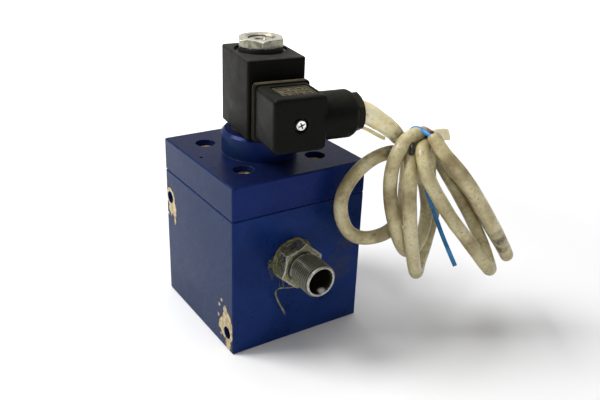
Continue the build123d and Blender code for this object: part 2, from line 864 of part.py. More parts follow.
# The five tied turns, one flat lobe each: a plane through the tie, the lobe's
# outline in it, and the lobe's thickness.
lobe_thickness = 8.0
tie = Vector(52.0, -62.0, 110.0)
lobes = {
    "a": [(61, -49, 95.5), (58, -52.5, 84), (50.5, -61.5, 71.5), (42, -61.5, 62), (28, -58, 60), (20, -53.5, 64), (17.5, -49.5, 74.5), (19.5, -48, 85), (26.5, -49, 95), (35.5, -51, 102), (45, -54, 105), (50, -56, 103.5), (53, -56.5, 102)],
    "b": [(59.5, -57.5, 99), (67, -56, 87.5), (75, -53, 70), (71, -58, 60), (63, -63, 51.5), (52.5, -66.5, 49), (44, -68, 58.5), (36.5, -69, 76), (34.5, -67, 90.5), (36.5, -65.5, 104.5), (42.5, -64, 111.5), (46.5, -62.5, 114), (54, -63, 116.5), (62, -64, 113)],
    "c": [(65.5, -60.5, 105), (78, -49, 81.5), (82, -52.5, 66.5), (78, -55, 57.5), (70, -60.5, 48), (62.5, -65, 41), (53.5, -73, 38), (47.5, -75, 53.5), (43, -76, 71.5), (42, -74.5, 85), (42, -73, 97.5), (46.5, -67.5, 105), (51.5, -61.5, 107.5), (61.5, -54.5, 111.5)],
    "d": [(75, -52, 101.5), (82, -52.5, 91), (95.5, -58, 69.5), (101, -70.5, 50.5), (97, -83.5, 40.5), (91, -91, 40), (83, -94.5, 47), (69, -90, 65.5), (59, -86, 78.5), (48.5, -78.5, 98.5), (48, -75, 107), (51, -70, 111), (57, -68.5, 111.5)],
    "e": [(66, -69, 108), (79, -59, 95.5), (95, -63.5, 77.5), (103.5, -70.5, 60.5), (106.5, -85, 46), (102.5, -91, 46), (97.5, -93.5, 51.5), (82, -94.5, 72.5), (67, -89.5, 95.5), (61, -84, 104.5), (55.5, -78, 112), (56, -71.5, 117)],
}
with BuildPart() as cable_coil:
    for name, outline in lobes.items():
        points = [Vector(p) for p in outline]
        middle = sum(points, Vector(0, 0, 0)) * (1 / len(points))
        normal = Vector(0, 0, 0)
        for a, b in zip(points, points[1:] + points[:1]):
            normal += (a - middle).cross(b - middle)
        flat = Plane(origin=middle, x_dir=points[0] - middle, z_dir=normal)
        local = [flat.to_local_coords(p) for p in points]
        with BuildSketch(flat):
            with BuildLine():
                Polyline(*[(p.X, p.Y) for p in local], close=True)
            make_face()
        extrude(amount=lobe_thickness / 2, both=True)
finish(cable_coil.part, "cable_coil")
print("cable_coil", len(cable_coil.part.solids()), "volume", round(cable_coil.part.volume))

# ---------------------------------------------------------------- tape and cores
tape_route = [
    gland_mouth + u_dir * 0.5,
    lead_route[1],
    lead_route[1] * 0.25 + lead_route[2] * 0.75,
]
with BuildPart() as tape_wrap:
    tube(tape_route, cable_r + 1.0, cable_r + 0.05)
finish(tape_wrap.part, "tape_wrap")

strip_dir = Vector(0.79, -0.43, -0.44)
with BuildPart() as tape_strip:
    with BuildSketch(Plane(origin=(27.7, -49.5, 120.0), x_dir=strip_dir, z_dir=(0.1, -0.8, 0.6))):
        with Locations((7.0, 0)):
            Rectangle(14.0, 3.2)
    extrude(amount=0.4)
finish(tape_strip.part, "tape_strip")

# the cable's cores, bare from the jacket's end: two go round the turns as the tie
core_routes = {
    "core_blue": [(55.2, -70.7, 117), (54.6, -67.2, 117.8), (53.8, -63.5, 118.8), (52.6, -60.3, 118.4), (52.6, -57.9, 115.5), (54.8, -56, 109.6), (59.9, -54.8, 101.1), (67.6, -55.6, 85), (72.3, -61, 68.9), (73, -70.4, 55.1), (72.9, -82, 43.5)],
    "core_black": [(55.6, -70.6, 115.3), (56.1, -66, 114.8), (55.6, -61.6, 114.9), (53.6, -59.4, 115.1), (49.2, -62.5, 114), (46.4, -67.8, 111.7), (45.6, -68.5, 108.1), (47, -64.6, 103.8)],
    "core_brown": [(55.9, -70.5, 118.3), (58.4, -64.5, 117.7), (60.4, -58.5, 116.6), (62.3, -53.8, 113.1), (63.9, -51, 108.1), (66.4, -50.2, 100.6), (69.3, -50.8, 93.4)],
}
with BuildPart() as core_blue:
    tube(core_routes["core_blue"], core_r)
finish(core_blue.part, "core_blue")
with BuildPart() as core_black:
    tube(core_routes["core_black"], core_r)
finish(core_black.part, "core_black")
with BuildPart() as core_brown:
    tube(core_routes["core_brown"], core_r)
finish(core_brown.part, "core_brown")
for name, route in core_routes.items():
    print(name, "radii", [round(r, 1) for r in radii_of(route)])
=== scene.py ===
import bpy
import bmesh
import random
from math import sin, cos, tan, radians, pi, atan2, hypot
from mathutils import Vector, Matrix, Quaternion


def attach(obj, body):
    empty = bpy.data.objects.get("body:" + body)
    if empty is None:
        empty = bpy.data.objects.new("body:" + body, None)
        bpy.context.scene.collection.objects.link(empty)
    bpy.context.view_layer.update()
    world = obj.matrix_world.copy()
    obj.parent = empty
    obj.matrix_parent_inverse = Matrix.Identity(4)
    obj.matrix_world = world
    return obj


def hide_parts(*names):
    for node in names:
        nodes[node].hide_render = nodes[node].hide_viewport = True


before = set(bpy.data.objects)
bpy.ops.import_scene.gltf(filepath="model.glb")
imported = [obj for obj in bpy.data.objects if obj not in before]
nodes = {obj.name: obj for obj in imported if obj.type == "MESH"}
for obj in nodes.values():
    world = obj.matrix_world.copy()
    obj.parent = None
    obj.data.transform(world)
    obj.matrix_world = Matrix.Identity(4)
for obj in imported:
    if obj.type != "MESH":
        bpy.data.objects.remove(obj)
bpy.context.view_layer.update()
rnd = random.Random(7)

# ------------------------------------------------------------------ local frames (metres)
AXIS = Vector((-0.0020, 0.0002, 0.0))
U = Vector((cos(radians(-8.3)), sin(radians(-8.3)), 0.0))
V = Vector((-sin(radians(-8.3)), cos(radians(-8.3)), 0.0))
Z = Vector((0, 0, 1))
X = Vector((1, 0, 0))


def axes(origin, x, z):
    """4x4 matrix of a local frame: x and z given, y completes it."""
    x, z = x.normalized(), z.normalized()
    y = z.cross(x)
    m = Matrix((x, y, z)).transposed().to_4x4()
    m.translation = origin
    return m


UP = axes(AXIS, X, Z)
COIL = axes(AXIS, U, Z)
FACE = axes(AXIS, U, -V)                       # local y is up, local z towards the connector's front
INLET = axes(Vector((-0.0046, -0.040, 0.0486)), X, Vector((0, -1, 0)))
SIDE = axes(AXIS + Z * 0.1264 - V * 0.0413, V, U)  # the cable outlet's axis

# ------------------------------------------------------------------ material helper


class Mat:
    """A Principled material built from nodes, all in object coordinates."""

    def __init__(self, name, metallic=0.0, ior=1.45, coat=0.0, sheen=0.0, sss=0.0, spec=0.5):
        self.m = bpy.data.materials.new(name)
        self.m.use_nodes = True
        self.t = self.m.node_tree
        self.t.nodes.clear()
        self.out = self.t.nodes.new("ShaderNodeOutputMaterial")
        self.b = self.t.nodes.new("ShaderNodeBsdfPrincipled")
        self.t.links.new(self.b.outputs[0], self.out.inputs[0])
        self.b.inputs["Metallic"].default_value = metallic
        self.b.inputs["IOR"].default_value = ior
        self.b.inputs["Specular IOR Level"].default_value = spec
        self.b.inputs["Coat Weight"].default_value = coat
        if sheen:
            self.b.inputs["Sheen Weight"].default_value = sheen
        self.co = self.t.nodes.new("ShaderNodeTexCoord").outputs["Object"]
        self.geo = self.t.nodes.new("ShaderNodeNewGeometry")

    def node(self, kind, **set_):
        n = self.t.nodes.new(kind)
        for k, v in set_.items():
            setattr(n, k, v)
        return n

    def put(self, socket, value):
        if isinstance(value, bpy.types.NodeSocket):
            self.t.links.new(value, socket)
        elif isinstance(value, (tuple, list)) and len(value) == 3 and socket.type == "RGBA":
            socket.default_value = (*value, 1.0)
        else:
            socket.default_value = value

    def math(self, op, a, b=0.0, c=0.0, clamp=False):
        n = self.node("ShaderNodeMath", operation=op, use_clamp=clamp)
        self.put(n.inputs[0], a)
        self.put(n.inputs[1], b)
        self.put(n.inputs[2], c)
        return n.outputs[0]

    def mix(self, fac, a, b, blend="MIX"):
        n = self.node("ShaderNodeMix", data_type="RGBA", blend_type=blend)
        self.put(n.inputs[0], fac)
        self.put(n.inputs[6], a)
        self.put(n.inputs[7], b)
        return n.outputs[2]

    def scaled(self, scale, offset=(0, 0, 0), rot=(0, 0, 0)):
        n = self.node("ShaderNodeMapping")
        self.put(n.inputs["Vector"], self.co)
        n.inputs["Location"].default_value = offset
        n.inputs["Rotation"].default_value = rot
        n.inputs["Scale"].default_value = scale
        return n.outputs[0]

    def noise(self, scale, detail=4.0, rough=0.55, distort=0.0, vector=None):
        n = self.node("ShaderNodeTexNoise")
        self.put(n.inputs["Vector"], vector or self.co)
        n.inputs["Scale"].default_value = scale
        n.inputs["Detail"].default_value = detail
        n.inputs["Roughness"].default_value = rough
        n.inputs["Distortion"].default_value = distort
        return n.outputs[0]

    def voronoi(self, scale, vector=None, feature="F1"):
        n = self.node("ShaderNodeTexVoronoi", feature=feature)
        self.put(n.inputs["Vector"], vector or self.co)
        n.inputs["Scale"].default_value = scale
        return n.outputs["Distance"]

    def ramp(self, fac, low, high, a=0.0, b=1.0):
        n = self.node("ShaderNodeMapRange", interpolation_type="SMOOTHSTEP")
        self.put(n.inputs[0], fac)
        n.inputs[1].default_value = low
        n.inputs[2].default_value = high
        n.inputs[3].default_value = a
        n.inputs[4].default_value = b
        return n.outputs[0]

    def colours(self, fac, stops):
        n = self.node("ShaderNodeValToRGB")
        self.put(n.inputs[0], fac)
        e = n.color_ramp.elements
        e[0].position, e[0].color = stops[0][0], (*stops[0][1], 1)
        e[1].position, e[1].color = stops[-1][0], (*stops[-1][1], 1)
        for pos, col in stops[1:-1]:
            x = e.new(pos)
            x.color = (*col, 1)
        return n.outputs[0]

    def edges(self, radius=0.0007, low=0.02, high=0.25):
        """1 along convex and concave edges, from a rounded normal."""
        bev = self.node("ShaderNodeBevel", samples=4)
        self.put(bev.inputs["Radius"], radius)
        d = self.node("ShaderNodeVectorMath", operation="DOT_PRODUCT")
        self.put(d.inputs[0], bev.outputs[0])
        self.put(d.inputs[1], self.geo.outputs["True Normal"])
        return self.ramp(self.math("SUBTRACT", 1.0, d.outputs["Value"]), low, high), bev.outputs[0]

    def facing(self, direction, low=0.2, high=0.9):
        d = self.node("ShaderNodeVectorMath", operation="DOT_PRODUCT")
        self.put(d.inputs[0], self.geo.outputs["Normal"])
        d.inputs[1].default_value = direction
        return self.ramp(d.outputs["Value"], low, high)

    def near(self, point, radius, soft, squash=(1, 1, 1)):
        """1 within radius of a point, falling to 0 over soft."""
        n = self.node("ShaderNodeMapping", vector_type="POINT")
        self.put(n.inputs["Vector"], self.co)
        n.inputs["Location"].default_value = tuple(-p * s for p, s in zip(point, squash))
        n.inputs["Scale"].default_value = squash
        ln = self.node("ShaderNodeVectorMath", operation="LENGTH")
        self.put(ln.inputs[0], n.outputs[0])
        return self.ramp(ln.outputs["Value"], radius - soft, radius + soft, 1.0, 0.0)

    def most(self, *parts):
        v = parts[0]
        for p in parts[1:]:
            v = self.math("MAXIMUM", v, p)
        return v

    def bump(self, height, distance, strength=1.0, normal=None):
        n = self.node("ShaderNodeBump")
        n.inputs["Strength"].default_value = strength
        n.inputs["Distance"].default_value = distance
        self.put(n.inputs["Height"], height)
        if normal is not None:
            self.put(n.inputs["Normal"], normal)
        return n.outputs[0]

    def done(self, colour, roughness, normal=None, metallic=None):
        self.put(self.b.inputs["Base Color"], colour)
        self.put(self.b.inputs["Roughness"], roughness)
        if normal is not None:
            self.put(self.b.inputs["Normal"], normal)
        if metallic is not None:
            self.put(self.b.inputs["Metallic"], metallic)
        return self.m


# ------------------------------------------------------------------ materials


def anodised(name, deep, pale, chips=True):
    """Blue anodised aluminium: satin, smudged, painted shade on top, a greyer tint on left-facing faces, bare metal at
    chips and edges.
    """
    k = Mat(name, metallic=0.12, ior=1.22, spec=0.3, coat=0.0)
    edge, soft = k.edges(0.0006, 0.03, 0.3)
    big = k.noise(22, 5, 0.6, 0.6)
    fine = k.noise(260, 4, 0.65)
    smear = k.noise(60, 5, 0.7, 1.2, k.scaled((1, 1, 0.35), (0.3, 0.1, 0.0)))
    colour = k.mix(k.ramp(big, 0.35, 0.7), deep, pale)
    colour = k.mix(k.math("MULTIPLY", k.ramp(smear, 0.52, 0.78), 0.22), colour, (0.030, 0.040, 0.085))
    colour = k.mix(k.math("MULTIPLY", k.ramp(fine, 0.62, 0.8), 0.25), colour, (0.012, 0.016, 0.04))
    # painted shade: the upward faces are darkened; the left-facing faces are tinted a greyer blue
    top = k.math("MULTIPLY", k.facing((0, 0, 1), 0.55, 0.95), k.ramp(smear, 0.2, 0.75, 0.5, 0.85))
    colour = k.mix(top, colour, (0.0060, 0.0075, 0.022))
    left = k.math("MULTIPLY", k.facing((-1, 0, 0), 0.55, 0.95), k.ramp(big, 0.2, 0.8, 0.62, 0.92))
    colour = k.mix(left, colour, (0.007, 0.020, 0.060))
    # smudges low on the front
    smudge = k.math("MULTIPLY", k.most(k.near((0.026, -0.040, 0.036), 0.010, 0.006, (1, 1, 1.3)),
                                       k.near((0.031, -0.040, 0.048), 0.006, 0.004)), k.ramp(k.noise(150, 4, 0.7), 0.38, 0.62))
    colour = k.mix(k.math("MULTIPLY", smudge, 0.6), colour, (0.045, 0.045, 0.055))
    # worn edges
    worn = k.math("MULTIPLY", edge, k.ramp(k.noise(170, 5, 0.7), 0.38, 0.66))
    colour = k.mix(k.math("MULTIPLY", worn, 0.6), colour, (0.12, 0.14, 0.20))
    metal = 0.55
    rough = k.ramp(big, 0.2, 0.8, 0.24, 0.36)
    rough = k.math("ADD", rough, k.ramp(fine, 0.3, 0.8, -0.04, 0.08))
    h = k.math("ADD", k.math("MULTIPLY", fine, 0.6), k.math("MULTIPLY", k.noise(900, 2, 0.5), 0.4))
    nor = k.bump(h, 0.00006, 0.5, soft)
    if chips:
        ragged = k.noise(330, 6, 0.72, 0.8)
        ragged2 = k.noise(120, 4, 0.7, 0.5)
        def patch(y, z, r, s=(1, 1, 1)):
            return k.near((-0.040, y, z), r, r * 0.35, s)
        field = k.most(
            # upper hole: a thin ring, a large patch under it, runs below
            patch(0.0350, 0.0619, 0.0060), patch(0.0310, 0.0565, 0.0036, (1, 1, 0.8)), patch(0.0345, 0.0548, 0.0030), patch(0.0298, 0.0535, 0.0022, (1, 1, 0.7)),
            patch(0.0296, 0.0488, 0.0013, (1, 1, 0.5)), patch(0.0385, 0.0505, 0.0010), patch(0.0345, 0.0512, 0.0008),
            # lower hole: broad at its left and above, runs down its right, loose spots
            patch(-0.0318, 0.0122, 0.0070), patch(-0.0275, 0.0120, 0.0036), patch(-0.0335, 0.0180, 0.0050, (1, 1, 0.9)), patch(-0.0365, 0.0130, 0.0042, (1, 1, 0.6)),
            patch(-0.0345, 0.0040, 0.0030, (1, 1, 0.7)), patch(-0.0315, 0.0232, 0.0022, (1, 1, 0.8)), patch(-0.0275, 0.0274, 0.0010), patch(-0.0249, 0.0235, 0.0011),
            patch(-0.0238, 0.0165, 0.0009, (1, 1, 0.7)), patch(-0.0246, 0.0098, 0.0010), patch(-0.0268, 0.0062, 0.0009))
        field = k.math("MULTIPLY", field, k.facing((-1, 0, 0), 0.9, 0.98))
        chip = k.ramp(k.math("SUBTRACT", k.math("ADD", field, k.math("MULTIPLY", ragged, 0.9)), k.math("MULTIPLY", ragged2, 0.35)), 0.86, 0.98)
        chip = k.math("MULTIPLY", chip, k.ramp(field, 0.02, 0.2))
        tan_ = k.colours(k.noise(420, 4, 0.7), [(0.3, (0.20, 0.135, 0.06)), (0.5, (0.48, 0.38, 0.22)), (0.7, (0.72, 0.64, 0.46))])
        rim = k.math("MULTIPLY", k.ramp(field, 0.02, 0.25), k.math("SUBTRACT", 1.0, chip))
        colour = k.mix(k.math("MULTIPLY", rim, 0.6), colour, (0.012, 0.012, 0.016))
        colour = k.mix(chip, colour, tan_)
        rough = k.math("ADD", rough, k.math("MULTIPLY", chip, 0.15), clamp=True)
        nor = k.bump(chip, 0.00015, 0.8, nor)
        nor_b = nor
    return k.done(colour, rough, nor)


def moulded(name, dark, dust, amount=0.5, low=0.42, spec=0.25):
    """Black moulded plastic with a grainy surface, dust and a painted highlight on top, painted light on the
    left-facing side, dust in corners, paler worn edges.
    """
    k = Mat(name, metallic=0.0, ior=1.15, spec=0.5)
    edge, soft = k.edges(0.0011, 0.02, 0.3)
    big = k.noise(45, 5, 0.65, 0.8)
    mid = k.noise(160, 5, 0.7, 0.4)
    grain = k.noise(1300, 3, 0.6)
    scr = k.noise(90, 3, 0.6, 0.3, k.scaled((1, 1, 9), (0, 0, 0.2), (0.5, 0.3, 0)))
    colour = k.mix(k.ramp(big, 0.3, 0.75), dark, tuple(c * 1.9 for c in dark))
    # painted light: left-facing faces lightened with a share of the dust colour
    left = k.math("MULTIPLY", k.facing((-0.99, 0.14, 0), 0.4, 0.95), k.ramp(mid, 0.25, 0.75, 0.45, 0.95))
    colour = k.mix(k.math("MULTIPLY", left, amount), colour, tuple(c * 0.052 for c in dust))
    # upward faces lightened: dust, partly a painted highlight
    top = k.math("MULTIPLY", k.facing((0, 0, 1), 0.35, 0.95), k.ramp(mid, 0.25, 0.7, 0.45, 1.0))
    colour = k.mix(k.math("MULTIPLY", top, min(1.0, amount * 1.1)), colour, tuple(c * 0.2 for c in dust))
    specks = k.ramp(k.noise(520, 3, 0.7), 0.66, 0.78)
    colour = k.mix(k.math("MULTIPLY", specks, 0.10), colour, tuple(c * 0.6 for c in dust))
    worn = k.math("MULTIPLY", edge, k.ramp(mid, 0.35, 0.65))
    colour = k.mix(k.math("MULTIPLY", worn, 0.45), colour, (0.065, 0.064, 0.058))
    colour = k.mix(k.math("MULTIPLY", k.ramp(scr, 0.66, 0.72), 0.15), colour, (0.05, 0.05, 0.045))
    rough = k.math("ADD", k.ramp(big, 0.25, 0.75, low, low + 0.18), k.ramp(grain, 0.3, 0.7, -0.03, 0.05))
    h = k.math("ADD", k.math("MULTIPLY", grain, 0.6), k.math("MULTIPLY", mid, 0.4))
    return k.done(colour, rough, k.bump(h, 0.00008, 0.55, soft))


def metal(name, base, stain, stain_amount=0.5, rough=0.32, grain=(1, 1, 1), scale=300, worn_colour=(0.85, 0.84, 0.8), top=0.0):
    """Plated or turned metal with stains in the hollows, bright worn edges and tool marks."""
    k = Mat(name, metallic=1.0)
    edge, soft = k.edges(0.0006, 0.02, 0.2)
    big = k.noise(110, 5, 0.7, 1.0)
    mid = k.noise(scale, 4, 0.65, 0.2, k.scaled(grain))
    colour = k.mix(k.ramp(mid, 0.3, 0.7), tuple(c * 0.72 for c in base), base)
    st = k.math("MULTIPLY", k.ramp(big, 0.42, 0.66), stain_amount)
    colour = k.mix(st, colour, stain)
    colour = k.mix(k.math("MULTIPLY", k.ramp(k.noise(700, 3, 0.7), 0.62, 0.75), 0.5 * stain_amount), colour, tuple(c * 0.5 for c in stain))
    worn = k.math("MULTIPLY", edge, k.ramp(k.noise(260, 4, 0.6), 0.3, 0.6))
    colour = k.mix(k.math("MULTIPLY", worn, 0.85), colour, worn_colour)
    # upward faces lightened by the top argument: dust, partly a painted highlight
    top_dust_and_highlight = k.math("MULTIPLY", k.facing((0, 0, 1), 0.6, 0.95), k.ramp(mid, 0.2, 0.6, top * 0.6, top))
    colour = k.mix(top_dust_and_highlight, colour, (0.66, 0.62, 0.52))
    r = k.math("ADD", k.ramp(big, 0.35, 0.7, rough, rough + 0.22), k.ramp(mid, 0.3, 0.7, -0.05, 0.08))
    r = k.math("SUBTRACT", r, k.math("MULTIPLY", worn, 0.12), clamp=True)
    worn = k.most(worn, top_dust_and_highlight)
    met = k.math("SUBTRACT", k.math("SUBTRACT", 1.0, k.math("MULTIPLY", st, 0.75)), k.math("MULTIPLY", worn, 0.5), clamp=True)
    return k.done(colour, r, k.bump(k.math("ADD", mid, k.math("MULTIPLY", big, 0.7)), 0.00007, 0.6, soft), met)


def pvc(name):
    """Aged grey-beige cable jacket: lengthwise draw lines, brown dirt in streaks and blotches, painted shade on the
    undersides, dark scuffs.
    """
    k = Mat(name, metallic=0.0, ior=1.5, spec=0.55)
    big = k.noise(52, 4, 0.6, 0.15)
    mid = k.noise(210, 5, 0.72, 0.1)
    fine = k.noise(1100, 3, 0.65)
    colour = k.colours(big, [(0.30, (0.21, 0.155, 0.066)), (0.43, (0.38, 0.315, 0.155)), (0.55, (0.56, 0.49, 0.275)), (0.72, (0.68, 0.62, 0.40))])
    colour = k.mix(k.math("MULTIPLY", k.ramp(mid, 0.5, 0.72), 0.6), colour, (0.16, 0.115, 0.052))
    # painted shade: the jacket's downward-facing sides darkened
    painted_underside_shade = k.facing((0.1, 0.2, -1), 0.05, 0.9)
    colour = k.mix(k.math("MULTIPLY", painted_underside_shade, k.ramp(mid, 0.3, 0.7, 0.25, 0.6)), colour, (0.17, 0.13, 0.065))
    colour = k.mix(k.math("MULTIPLY", k.ramp(fine, 0.58, 0.70), 0.45), colour, (0.15, 0.105, 0.05))
    colour = k.mix(k.math("MULTIPLY", k.ramp(k.noise(430, 3, 0.8), 0.60, 0.68), 0.65), colour, (0.11, 0.07, 0.032))
    # dark scuffs
    rag = k.ramp(k.noise(300, 5, 0.75, 0.6), 0.36, 0.52)
    scuff = k.most(k.near((0.0889, -0.0949, 0.0623), 0.0036, 0.0014), k.near((0.0924, -0.0943, 0.0558), 0.0030, 0.0014), k.near((0.0851, -0.0954, 0.0676), 0.0024, 0.0012),
                   k.near((0.0450, -0.0570, 0.1050), 0.0050, 0.003), k.near((0.0985, -0.0885, 0.0425), 0.0020, 0.0012))
    colour = k.mix(k.math("MULTIPLY", scuff, k.math("MAXIMUM", rag, 0.45)), colour, (0.050, 0.030, 0.026))
    rough = k.ramp(mid, 0.3, 0.75, 0.28, 0.5)
    h = k.math("ADD", k.math("MULTIPLY", mid, 0.6), k.math("MULTIPLY", fine, 0.25))
    return k.done(colour, rough, k.bump(h, 0.00012, 0.5))


def insulation(name, base, dark, spec=0.5):
    """Smooth wire insulation, a little handled."""
    k = Mat(name, metallic=0.0, ior=1.5, spec=spec)
    big = k.noise(240, 4, 0.6, 0.5)
    colour = k.mix(k.ramp(big, 0.35, 0.7), base, dark)
    colour = k.mix(k.math("MULTIPLY", k.ramp(k.noise(900, 3, 0.7), 0.6, 0.75), 0.3), colour, tuple(c * 0.35 for c in dark))
    return k.done(colour, k.ramp(big, 0.3, 0.7, 0.28, 0.45), k.bump(k.noise(1200, 2, 0.5), 0.00004, 0.4))


def film(name):
    """Yellowed translucent tape with brown glue at its edges."""
    k = Mat(name, metallic=0.0, ior=1.45, spec=0.4)
    k.b.inputs["Subsurface Weight"].default_value = 0.25
    k.b.inputs["Subsurface Radius"].default_value = (0.002, 0.0014, 0.0007)
    big = k.noise(120, 4, 0.6, 0.8)
    streak = k.noise(500, 4, 0.7, 0.2, k.scaled((0.35, 0.6, 1.6), (0, 0, 0), (0, 0.7, 0)))
    colour = k.colours(big, [(0.3, (0.80, 0.68, 0.36)), (0.5, (0.90, 0.82, 0.52)), (0.75, (0.96, 0.92, 0.72))])
    colour = k.mix(k.math("MULTIPLY", k.ramp(streak, 0.58, 0.76), 0.6), colour, (0.34, 0.24, 0.075))
    seam = k.most(k.near((0.0286, -0.0523, 0.1256), 0.0017, 0.0008), k.near((0.0318, -0.0532, 0.1234), 0.0012, 0.0008), k.near((0.0356, -0.0543, 0.1208), 0.0012, 0.0008), k.near((0.0392, -0.0557, 0.1182), 0.0011, 0.0008))
    colour = k.mix(k.math("MULTIPLY", k.math("MULTIPLY", seam, k.ramp(k.noise(260, 4, 0.7), 0.36, 0.58)), 0.8), colour, (0.34, 0.20, 0.045))
    low_end = k.near((0.0480, -0.0544, 0.1127), 0.0046, 0.0026)
    colour = k.mix(k.math("MULTIPLY", k.math("MULTIPLY", low_end, k.ramp(k.noise(300, 4, 0.7), 0.30, 0.55)), 0.85), colour, (0.16, 0.105, 0.045))
    return k.done(colour, k.ramp(streak, 0.3, 0.7, 0.25, 0.42), k.bump(streak, 0.00012, 0.7))


def hemp_mat(name):
    k = Mat(name, metallic=0.0, spec=0.25, sheen=0.3)
    big = k.noise(350, 4, 0.7)
    colour = k.colours(big, [(0.32, (0.045, 0.043, 0.015)), (0.5, (0.19, 0.18, 0.062)), (0.7, (0.42, 0.42, 0.20))])
    return k.done(colour, 0.8, k.bump(k.noise(2200, 3, 0.6), 0.0001, 0.8))


def simple(name, base, rough=0.5, metallic=0.0, spec=0.5):
    """Inner pieces: fine grain and slight colour change."""
    k = Mat(name, metallic=metallic, spec=spec)
    n = k.noise(300, 4, 0.6)
    colour = k.mix(k.ramp(n, 0.3, 0.7), tuple(c * 0.75 for c in base), base)
    return k.done(colour, k.ramp(n, 0.3, 0.7, rough - 0.06, rough + 0.08), k.bump(k.noise(1500, 2, 0.5), 0.00004, 0.4))


def rusty(name):
    k = Mat(name, metallic=0.6, spec=0.5)
    n = k.noise(420, 5, 0.7, 0.4)
    colour = k.colours(n, [(0.3, (0.07, 0.045, 0.025)), (0.5, (0.26, 0.17, 0.085)), (0.72, (0.55, 0.44, 0.29))])
    return k.done(colour, k.ramp(n, 0.3, 0.7, 0.45, 0.7), k.bump(n, 0.0001, 0.6))


def crossed(name):
    """Bright screw, with painted shade below its head's face so that the cross reads."""
    k = Mat(name, metallic=1.0)
    n = k.noise(900, 4, 0.7)
    d = k.node("ShaderNodeVectorMath", operation="DOT_PRODUCT")
    k.put(d.inputs[0], k.co)
    d.inputs[1].default_value = tuple(-V)
    top = (AXIS.dot(-V)) + 0.0528
    # painted shade in the cross slot: everything below the head's face is darkened
    deep = k.ramp(d.outputs["Value"], top - 0.00055, top - 0.00018, 1.0, 0.0)
    colour = k.mix(k.ramp(n, 0.35, 0.7), (0.82, 0.82, 0.80), (0.45, 0.44, 0.40))
    colour = k.mix(deep, colour, (0.012, 0.012, 0.012))
    return k.done(colour, k.ramp(n, 0.3, 0.7, 0.16, 0.34), k.bump(n, 0.00008, 0.6), k.math("SUBTRACT", 1.0, k.math("MULTIPLY", deep, 0.8)))


